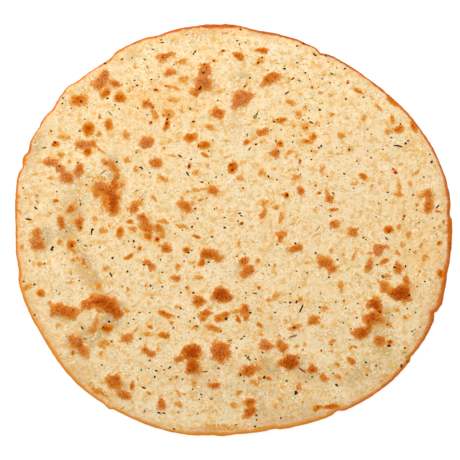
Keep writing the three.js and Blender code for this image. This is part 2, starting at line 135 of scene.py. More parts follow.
GOLDEN_FRECKLES = [
    (-93, 75.5, 5, 3.5, 0), (-88, 79.5, 4, 3, 0), (-80, 57.5, 4.5, 3, 0), (-45, 103, 4, 2, 10),
    (-30.5, 101, 7, 3, 20), (-29.5, 90, 5, 4.5, 0), (-36.5, 85, 8.5, 2.5, -20), (-36, 78, 6, 4, -10),
    (-46.5, 69, 7.5, 3.5, -60), (-38.5, 69.5, 6.5, 6, 0), (-19, 74.5, 2, 1.5, 0), (-14, 62, 6.5, 4, -10),
    (-6.5, 106.5, 3, 1.5, 10), (-11.5, 101, 2, 2, 0), (-23.5, 117, 1.5, 1.5, 0), (43, 62, 5, 3.5, 90),
    (52, 82.5, 3, 2, 0), (58, 80.5, 3, 2, 0), (47, 85, 1.5, 1.5, 0), (58.5, 69.5, 2.5, 2.5, 0),
    (36, 71, 1.5, 1.5, 0), (68, 88, 2, 1.5, 90), (86.5, 73.5, 5, 2.5, -50), (82.5, 79, 4, 1.5, -35),
    (94.5, 66, 5.5, 2, 100), (92.5, 59.5, 5.5, 4, 0), (-79, 49, 8, 1.5, -40), (-83, 30, 2, 2, 0),
    (-66, 27, 5.5, 4.5, 60), (-82, 7.5, 4, 3, -60), (-77, 0.5, 5, 3, -20), (-73.5, 3, 2, 1.5, 90),
    (-109, 10, 2.5, 2.5, 0), (-104, -1, 2, 1.5, 0), (-124.5, 25.5, 1.5, 1.5, 0),
    (-123.5, 41.5, 5, 2.5, 80), (-125.5, -10, 4, 3, 90), (-79.5, -32.5, 5, 3.5, -70),
    (-122, -33.5, 8, 3, 30), (-114, -36.5, 5, 3.5, 80), (-108, -43.5, 5, 2, -55), (-104, -56, 3, 3, 0),
    (-81.5, -54.5, 9, 3.5, 75), (-79, -48, 6, 3, -20), (-64, 57, 6, 4, -60), (-63, 42.5, 4, 4, 0),
    (-41.5, 31, 6.5, 3, -35), (-20.5, 50.5, 3, 1, 90), (-22, 35, 4.5, 3.5, 0), (-21.5, 25, 5, 2.5, 0),
    (-16, 25.5, 5.5, 2, -5), (-47.5, 20, 4.5, 2, -50), (-59.5, 1, 5, 3.5, 0), (-42.5, -2, 4, 3.5, 90),
    (-42, 5.5, 6.5, 2.5, -10), (-49, 32, 1.5, 1, 0), (-14.5, 39.5, 3, 1.5, 85), (34.5, 47, 4, 2.5, 20),
    (37.5, 44, 2.5, 2, 90), (41.5, 38.5, 1.5, 1.5, 0), (47, 56, 6.5, 4, 65), (43.5, 53, 6.5, 3, -10),
    (64.5, 57, 5.5, 4.5, -60), (17.5, 34.5, 4.5, 4.5, 0), (53, 36, 5.5, 3, 85), (37.5, 31.5, 6, 4.5, 20),
    (49, 27, 1.5, 1.5, 0), (56, 23.5, 5, 3, 95), (18.5, 17, 5, 4, 0), (18.5, 13.5, 4, 2, 90),
    (25.5, 14, 4, 3.5, 0), (48.5, 12, 2, 2, 0), (34.5, 4, 2, 1.5, 0), (59.5, 12, 5.5, 2.5, 10),
    (77.5, 32, 4.5, 4, 0), (28.5, 8, 6, 3, 75), (4, 31, 4, 3, -50), (78, 67, 3.5, 3.5, 0),
    (82.5, 27, 2.5, 2.5, 0), (108.5, 34.5, 5, 2, 40), (88.5, 35, 2.5, 1.5, -35), (92, 44, 1.5, 1.5, 0),
    (98.5, 22, 5, 2.5, -10), (105.5, 27, 4, 2.5, -60), (109.5, 16, 2, 2, 90), (122, 12, 3, 1.5, -45),
    (91.5, 8.5, 1.5, 1.5, 0), (98, 2.5, 2.5, 2.5, 0), (122.5, 2.5, 2, 2, 0), (98, -13, 3.5, 2, -35),
    (108, -12.5, 2, 2, 0), (92, -27, 4.5, 3, 0), (92.5, -55.5, 5, 2.5, -20), (102.5, -51, 2.5, 2.5, 0),
    (-63, -35.5, 2.5, 2, 90), (-51, -61.5, 5, 2.5, 0), (-83, -58, 5.5, 4.5, 60),
    (3.5, -8.5, 4.5, 2.5, 85), (18, -25, 2, 1.5, -30), (2.5, -30.5, 2, 1.5, 0), (61.5, -21.5, 5, 2, 25),
    (58, -12, 2.5, 2.5, 0), (65, -14, 2.5, 2, 90), (64, -33, 6, 3, -80), (26, -38.5, 6, 2.5, 40),
    (21, -41, 4.5, 2.5, 10), (39.5, -40, 4, 3, 90), (2, -47.5, 5, 2, 10), (54, -46, 5.5, 2.5, 20),
    (-12.5, -49, 3.5, 1.5, -15), (79.5, -23, 4, 2.5, 20), (-75.5, -65, 2, 2, 0), (-74.5, -67, 2, 2, 0),
    (-77, -68.5, 3, 2.5, 0), (-78.5, -72.5, 3, 2, 80), (-80, -95, 11, 4, -30), (-81.5, -85.5, 2, 1.5, 0),
    (-23, -90.5, 5, 3, 85), (-32.5, -96, 6, 2.5, -70), (-32.5, -103, 6, 3, -20), (0.5, -103.5, 4, 3, 0),
    (3.5, -96.5, 5, 2, 25), (16.5, -87, 2.5, 2.5, 0), (39, -93, 5.5, 3.5, -70), (62, -79.5, 3, 2.5, 0),
    (42.5, -66.5, 2.5, 2, 0), (43, -74, 2, 2, 0), (26.5, -87, 1.5, 1.5, 0), (-57, -88, 1.5, 1.5, 0),
    (-66.5, -105.5, 3, 1, -10), (88, -89, 2, 1.5, 0), (-32.5, -22, 5, 3, 90), (-20.5, -28, 5, 3.5, 0),
    (-27, -33.7, 3, 2.5, 0), (-43.5, -9, 4.5, 2, 10), (-22, -57.8, 4, 3, 0), (-32.5, -45, 4, 2, -30),
    (-63, -47, 3.5, 3, 0), (-57.5, -58.5, 5, 2, 40), (13, -90, 5, 4, 0), (62.5, -86.5, 4, 3, -40),
    (59, -66, 5, 3, 20), (38, -68, 2.5, 2, 0), (70.3, -69.5, 3, 3, 0), (16.5, 101, 6.5, 3, 50),
    (7.5, 86.5, 5, 1.5, 45), (34, 76.5, 6, 3, -35), (24.5, 65, 5, 1.5, 10), (72.3, -15, 5.5, 2, 75),
    (72.8, -11.8, 3, 1.2, 100), (81, -13.3, 3.5, 2, 0), (100.5, -7.5, 2.8, 3.2, 0),
    (111.5, -8, 2.4, 2.4, 0), (97.5, -46.5, 3, 3, -40), (91.5, -48.5, 3, 2, 0), (39, 69, 4.5, 4.5, 0),
    (32.5, 89.5, 3, 3, 0), (17, -117.3, 10, 2, 10), (-86.8, -21, 3, 1.2, -60), (-95, -17.5, 3, 2, 90),
    (-94.3, -11.8, 4, 1.5, -55), (-75.5, -22.5, 4.5, 4, 0), (-114.5, -20, 4, 2.5, -30),
    (-103, -6.5, 3.5, 3, 90), (-109, 31.8, 3, 2, 0), (-107, 27.5, 4, 1.5, -45), (-102, 45.5, 3.5, 4, 0),
    (-97.5, 41.5, 2, 2.5, 0), (-114, 30, 2, 1, 0), (-77.5, -66.5, 5, 3.5, 20), (98.5, 26.5, 2.5, 6, 10),
    (92, 59, 3.5, 3.5, 0), (34, 47, 4, 3, 30), (22.3, 31.5, 2, 1.8, 0), (14.7, -17.7, 3.5, 3, 0),
    (24.7, -20.5, 2, 3.2, 0), (57.7, -11.5, 2.5, 2.5, 0), (31, -53.3, 2.4, 3, 0),
    (-57.8, 36.5, 2.8, 4.5, -20), (-14.7, 39.3, 2, 3.2, 10), (-9.6, 13.2, 1.8, 2, 0),
    (-36.5, 45.2, 5, 1.4, -10), (-47.2, 19.4, 4.4, 2.4, -55), (-31.2, 3.2, 8, 2.2, -25),
    (-22, 34.8, 4, 4, 0), (-100.5, 55.8, 7.5, 2.8, -8), (-116.8, 33.7, 2.6, 1.8, 20),
    (-108.8, 10.3, 2.4, 2.2, 0), (-73.8, 3.5, 1.8, 2, 0), (-43, -30.5, 3.5, 1.4, -30),
    (-51.3, -32, 1.6, 2.4, 0), (-47.8, -32.3, 1.8, 1.6, 0), (-24, -18.7, 4, 1.8, 0),
    (-36, -55, 2.6, 2.6, 0), (100.4, -7.2, 2.6, 2.6, 0), (114.8, -15.5, 3.6, 3.6, 0),
    (104.5, -2, 3, 4, -30),
]
FAINT_FRECKLES = [
    (-94, 79.5, 3, 3, 0), (-97, 69, 3.5, 2.5, -20), (-80.5, 64.5, 3, 2, 0), (-74.5, 74, 2, 1, 0),
    (-21.5, 77.5, 6, 1.5, 95), (-24, 73, 7, 2, -20), (-30.5, 72, 6, 2, 90), (-8.5, 83, 8, 3, 25),
    (-60, 85, 8, 2.5, 35), (-35, 113, 3, 2, 0), (-55.5, 104.5, 2, 1, 0), (-58.5, 98, 4, 2, 90),
    (11.5, 99, 4, 1.5, 0), (13.5, 89, 3.5, 2, 0), (40, 81, 2, 2, 0), (43, 72.5, 3, 3, 0),
    (50, 63.5, 3.5, 2.5, 45), (9.5, 63, 3.5, 1.5, 25), (35.5, 63, 4, 3, 90), (53, 93, 10, 1.5, -10),
    (67.5, 66.5, 2.5, 2, 0), (75, 62, 2.5, 1.5, 90), (70, 58.5, 3, 3, 0), (-101, 56, 8, 3, -15),
    (-114, 41, 4, 1.5, 0), (-84.5, 32.5, 6, 1.5, 0), (-78, 12.5, 7, 2.5, 80), (-68, 22, 5, 4, 90),
    (-93.5, 17, 5, 2.5, 65), (-117.5, 33.5, 2, 1.5, 0), (-94.5, -17.5, 3, 2, 90),
    (-94, -11.5, 4.5, 1.5, -50), (-87, -21.5, 2, 2, 0), (-78, -14, 3, 1, -15), (-86.5, -31, 3, 1, -70),
    (-97, -30.5, 6, 2, 0), (-30.5, 3, 8.5, 2, -20), (-30.5, 8, 4, 2, -70), (-38, 53.5, 3.5, 2.5, 0),
    (-37, 45, 5, 2, 0), (-57, 47, 2.5, 2.5, 0), (-58, 37, 3.5, 1.5, 90), (-58, 22.5, 3, 2, 0),
    (-10, 13, 2.5, 1.5, 90), (-3.5, 44, 8, 2, 15), (-3.5, 53.5, 2.5, 2, 0), (12, 55.5, 7, 3, 40),
    (18.5, 53.5, 5, 3, 0), (31.5, 44, 2, 2, 0), (58.5, 46, 3, 2.5, 0), (63, 46, 4, 2, 5),
    (55.5, 57.5, 4, 2, 0), (49, 47, 3.5, 2.5, 0), (54, 46, 2, 1.5, 0), (22, 31.5, 3, 2.5, 0),
    (25, 36.5, 3, 2, 0), (33.5, 36, 3, 1.5, 10), (46.5, 38, 4, 2, 0), (45.5, 29.5, 2, 2, 0),
    (29, 21.5, 3.5, 2, 0), (19.5, 13.5, 4, 2, 90), (38, 8, 2, 2, 0), (10.5, 2.5, 4, 2, 20),
    (64, 5, 3.5, 2.5, 30), (50.5, -1.5, 7.5, 2, 30), (72, 28.5, 4, 2.5, 0), (87.5, 28.5, 4, 2, 0),
    (91.5, 42.5, 3.5, 1.5, 0), (100, 39.5, 3, 2, 0), (69.5, 48.5, 4, 4, 0), (99, 26.5, 5, 2, 95),
    (76.5, 11.5, 2.5, 2, 90), (105, -2, 6, 2, -55), (109, 4, 3, 2.5, 90), (74, -25.5, 2.5, 1.5, 0),
    (75.5, -30.5, 3, 2, 90), (81, -31.5, 2, 2, 0), (111.5, -38, 4, 1.5, 90), (-64.5, -6.5, 4, 2.5, 90),
    (-28.5, -14.5, 2, 1.5, 0), (-49, -38, 3, 2, 0), (-36.5, -55.5, 3, 2, 0), (-44.5, -15.5, 3, 2, 90),
    (-37.5, -15.5, 3, 1.5, 0), (11, -6.5, 2, 2, 0), (15, -17.5, 3, 3, 0), (17, -35.5, 2.5, 1.5, 20),
    (16, -39, 6, 1, -10), (44, -18.5, 2.5, 2, 0), (56.5, -15.5, 3.5, 3, 30), (28.5, -43, 5, 1.5, -60),
    (15.5, -46.5, 3.5, 2.5, 0), (22.5, -51.5, 3.5, 3, 0), (31, -53.5, 3, 2.5, 90), (17, -60.5, 5, 4, 80),
    (52.5, -56.5, 3, 2, 0), (-89, -81.5, 4, 1.5, 75), (-79.5, -81, 2, 1, 0), (-45, -70.5, 4.5, 2.5, 80),
    (-55, -69, 3, 2, 0), (-75, -88, 4, 3, 90), (-59, -95, 3, 2, 60), (-60.5, -101, 4, 1.5, -40),
    (-75.5, -98.5, 6, 2, -25), (-83.5, -91, 4, 2.5, -10), (-49.5, -90, 3, 2, 0),
    (-18, -75.5, 5, 1.5, -60), (-38, -78, 2.5, 1, 20), (12.5, -96, 3, 1.5, 0), (-18, -107, 4, 1.5, 35),
    (-10, -107, 3.5, 1.5, -35), (-36, -86.5, 2, 1.5, 0), (-8.5, -85.5, 2, 1, 0), (9.5, -72.5, 3, 2, 0),
    (-5, -118, 16, 1.5, 0), (63.5, -89.5, 2.5, 1.5, 0), (68, -84.5, 2.5, 2, 0), (59, -71, 3, 2, 0),
    (68, -65.5, 2, 1.5, 0), (80, -73.5, 2.5, 2, 0), (17, -77.5, 4, 2.5, 90), (39, -87, 2, 2, 0),
    (29.5, -105, 3, 2, 90), (41.5, -101.5, 2.5, 2, 0), (35, -110.5, 3, 1.5, 0), (66, -104, 5, 1, 5),
    (91, -86, 4, 2.5, 0), (88, -89, 3, 2, 0), (83, -93.5, 4, 1.5, 30), (79.5, -83, 4.5, 2, 90),
    (-24, -18.5, 4, 2, 0), (-38, -5.5, 2.5, 3, 0), (115, -16, 4.5, 5, 0), (25, -104.5, 6, 3, 50),
    (27.5, -100, 5, 2, -20), (-8, -116.5, 26, 3.5, 0), (19, 66.5, 3, 1.5, 0), (-91, -18, 6, 3, -50),
    (-79, 31.5, 9, 4, -10),
]

# Each kind of freckle with how toasted it is.
FRECKLES = [(BROWN_FRECKLES, 1.15), (GOLDEN_FRECKLES, 0.68), (FAINT_FRECKLES, 0.46)]

# Blisters with lighter, pinker tops: x, y, length and width in millimetres, turn, and how pink.
ROSY_TOPS = [
    (-78, 90, 18, 12, 52, 0.9), (-18, 91, 24, 12, 70, 0.9), (4, 78, 20, 14, 38, 0.9),
    (-52, 52, 13, 11, 35, 0.8), (-89, 51, 15, 9, 15, 0.9), (-104, 36, 26, 10, -40, 0.9),
    (-117, -5, 12, 14, 0, 0.9), (-93, -64, 10, 11, 0, 0.9), (-78, -95, 13, 8, -35, 0.7),
    (17, 103, 12, 13, 0, 0.8), (88, -12, 13, 10, 20, 0.9), (81, -20, 9, 11, 0, 0.8),
    (-79, 29, 13, 11, 0, 0.8), (-49, -71, 14, 9, 0, 0.7), (19, -67, 10, 9, 0, 0.6),
    (-92, 33, 9, 10, 0, 0.8), (-72, 43, 16, 12, -30, 0.9), (-65, -95, 10, 9, 0, 0.6),
    (-30, 90, 8, 8, 0, 0.7), (-92, 3, 12, 14, 0, 0.4), (4, 80, 16, 12, 0, 0.5), (-8, -71, 13, 12, 0, 0.5),
    (19, -67, 9, 6, 0, 0.5), (29, -68, 6, 6, 0, 0.5),
]

# Blisters baked darker in the middle: x, y, length and width in millimetres, turn, and how much darker.
DEEP_TOPS = [
    (-7, -71, 16, 15, 0, 0.6), (100, -37, 15, 11, 0, 0.6), (-25, -73, 14, 11, 0, 0.4),
    (-25, -81, 11, 9, 0, 0.3), (34, -78, 12, 10, 0, 0.45), (-6, -38, 14, 10, -10, 0.35),
    (-20, -42, 9, 6, 0, 0.35), (10, -105, 8, 14, -30, 0.4), (9.5, -84, 10, 8, 0, 0.4),
    (47, -82, 8, 7, 0, 0.35), (-39.5, -11, 6, 6, 0, 0.5), (21.5, 91, 9, 5, 25, 0.35),
    (-14, -14, 12, 6, 0, 0.3), (-11, -91.5, 9, 5, 10, 0.3), (84, -44, 8, 8, 0, 0.3),
    (77, -60, 10, 6, 0, 0.3), (-70.5, 18, 9, 16, 0, 0.5), (-77, -42, 14, 7, -20, 0.2),
    (-70, -47, 8, 9, 0, 0.3),
]

# Bulges where steam lifted the dough, and dips: x, y, length and width in millimetres, turn, and height.
SWELLS = [
    (-83, 38, 32, 28, 0, 1.2), (-109, 20, 52, 19, 90, 0.9), (-104, -27, 34, 24, -45, 1),
    (-97, 18, 46, 10, 85, -0.5), (-89, -18, 52, 12, -62, -0.7), (-83, -47, 36, 31, 0, 1.3),
    (20, -105, 20, 11, 0, 0.8), (-62, -72, 24, 16, -20, 0.6), (-10, 82, 50, 20, 60, -0.5),
    (8, -74, 90, 16, 0, 0.4), (84, -50, 34, 26, 60, 0.7), (-55, 8, 32, 20, -40, 0.5),
    (60, 50, 60, 44, 30, 0.4), (79, 80, 34, 7, -28, -0.4),
]

# Broad patches of dough: x, y, length and width in millimetres, turn, and how golden, or how pale if below 0.
TINTS = [
    (-44, 78, 78, 44, 12, 0.9), (-95, -2, 26, 46, 0, 0.7), (-50, -2, 40, 20, -48, 0.9),
    (82, 25, 76, 70, 0, 0.7), (108, 2, 34, 86, 0, 0.7), (32, -90, 64, 28, -20, 0.6),
    (-72, -96, 26, 18, -40, 0.8), (3, 34, 76, 24, 88, -1), (-8, -25, 30, 20, 0, -1),
    (30, 106, 70, 20, -15, -1.2), (84, 86, 70, 14, -40, -1), (-45, -105, 56, 20, -12, -1.2),
    (-112, 55, 36, 16, 60, -0.9), (52, -63, 60, 16, 5, -0.7), (40, 57, 54, 38, 0, 0.5),
    (-15, -72, 26, 18, -60, -0.7), (72, -100, 40, 14, 25, -0.7), (100, -65, 24, 30, 0, -0.5),
    (-83, 41, 20, 16, 0, -0.7), (-105, -26, 24, 16, -40, -0.7), (110, -20, 30, 50, 0, 0.8),
]

# Patches of painted shade on the dough in dips and creases, towards the bottom and by the edge that faces the
# lamp,
# and of painted light where below 0: x, y, length and width in millimetres, turn, and how dark, or how light
# if below 0.
PAINTED_LIGHT_AND_SHADE = [
    (10, -92, 176, 54, 0, 0.5), (-70, 33, 44, 16, -80, 1.2), (-97, 33, 20, 16, 0, 1),
    (-94, 14, 40, 24, 75, 1.1), (-99, 0, 24, 16, -70, 1), (-113, -5, 20, 24, 0, 1.3),
    (-89, -20, 44, 20, -62, 1.3), (-80, -34, 24, 18, -40, 1.2), (-71, -48, 32, 20, 75, 1.7),
    (-81, -61, 32, 18, 25, 1.5), (-92, -68, 24, 18, 0, 1.5), (-102, -50, 22, 16, 0, 1.1),
    (-75, 87, 14, 11, 0, 1.2), (-14, 86, 24, 12, -35, 0.9), (4, 88, 46, 20, 85, 0.7),
    (5, -22, 18, 16, 0, 1), (-47, 2, 34, 16, -40, 0.8), (87, -52, 26, 20, 50, 1.5),
    (90, -66, 22, 20, 0, 1.3), (103, -36, 22, 15, 0, 1), (-22, -82, 26, 20, 90, 0.8),
    (20, -80, 24, 24, 0, 0.6), (42, -82, 30, 18, -20, 0.8), (14, -105, 24, 18, 90, 0.8),
    (38, -108, 46, 20, 8, 0.7), (-66, -94, 24, 18, -30, 1), (-118, 20, 14, 24, 0, 0.5),
    (-40, 70, 24, 20, 0, 0.4), (80, -82, 50, 30, 20, 0.9), (2, 62, 30, 40, 0, 0.5),
    (20, -55, 44, 16, 0, 0.4), (72, 28, 110, 70, 0, -0.9), (-58, -30, 44, 30, 0, -0.9),
    (0, 0, 50, 36, 0, -0.8), (45, -2, 40, 26, 0, -0.6), (-115, 55, 30, 14, 60, 0.6),
    (62, 104, 50, 18, -30, 0.8), (21, 119, 50, 18, -10, 0.9), (-21, 118, 50, 18, 10, 0.9),
    (-94, 80, 50, 18, 50, 0.7), (-119, 44, 50, 18, 70, 0.6), (62, -62, 40, 26, 0, 0.4),
    (-90, -82, 36, 24, -30, 0.6), (-61, 105, 50, 18, 30, 0.6),
]

# The baked edge every 20 degrees from +X: how wide its brown line is and how far it strays, in millimetres,
# how golden it is, or how burnt if below 0, and how much it browns the dough beside it.
# The golden and burnt column is partly the edge's own bake, and partly painted light on the lower edge, which
# the lamp
# leaves in shade, and painted shade on the upper edge, which faces the lamp.
RIM_LINES = [
    (2.4, 0.55, 0.15, 0.8), (1.8, 0.4, 0.05, 0.6), (1.7, 0.3, 0.05, 0.6), (1.5, 0.3, -0.35, 0.5),
    (1.7, 0.4, -0.3, 0.5), (1.9, 0.5, -0.3, 0.6), (1.4, 0.4, 0.2, 0.6), (1.2, 0.4, 0.4, 0.5),
    (1.5, 0.5, 0.35, 0.5), (1.7, 0.5, 0.5, 0.7), (2, 0.5, 0.9, 1), (2, 0.35, 0.9, 1), (1.7, 0.35, 1, 0.9),
    (2.1, 0.35, 0.95, 1), (2.3, 0.35, 0.9, 1), (2.2, 0.35, 0.65, 1), (2.2, 0.45, 0.4, 0.9),
    (3, 0.6, 0.1, 1),
]

# Dried herb stems, which lie on those of the solid: x, y and length in millimetres, turn in degrees, and
# shade from black over reddish to grey-green.
HERB_STEMS = [
    (40.5, -46, 6, 65, 0.05), (98, 50.5, 6, -10, 0.15), (-107.5, -10.5, 3, 60, 0.05),
    (-72.5, -26, 3.5, -65, 0.3), (-84, -0.5, 4, 85, 0.05), (-54.5, 37.5, 3, -30, 0.05),
    (-31.5, 44.5, 3, -35, 0.2), (-121.5, 7, 4, -10, 0.05), (-53, -93, 3, -20, 0.2),
    (-19.5, 85, 2.5, 60, 0), (32, 82, 3.5, 35, 0.6), (35.5, 90.5, 2.5, 40, 0.6),
    (46.5, 64.5, 3, -25, 0.3), (-27, 34, 3, -55, 0.3), (-89.5, -57.5, 2.5, -55, 0.2),
    (-44, -108, 2.5, -20, 0), (37.5, -96.5, 3, 20, 0), (121.5, 14.5, 3, 50, 0.3),
    (35.5, -62.5, 5.5, 15, 1), (41, -82.5, 6, -35, 0.66),
]

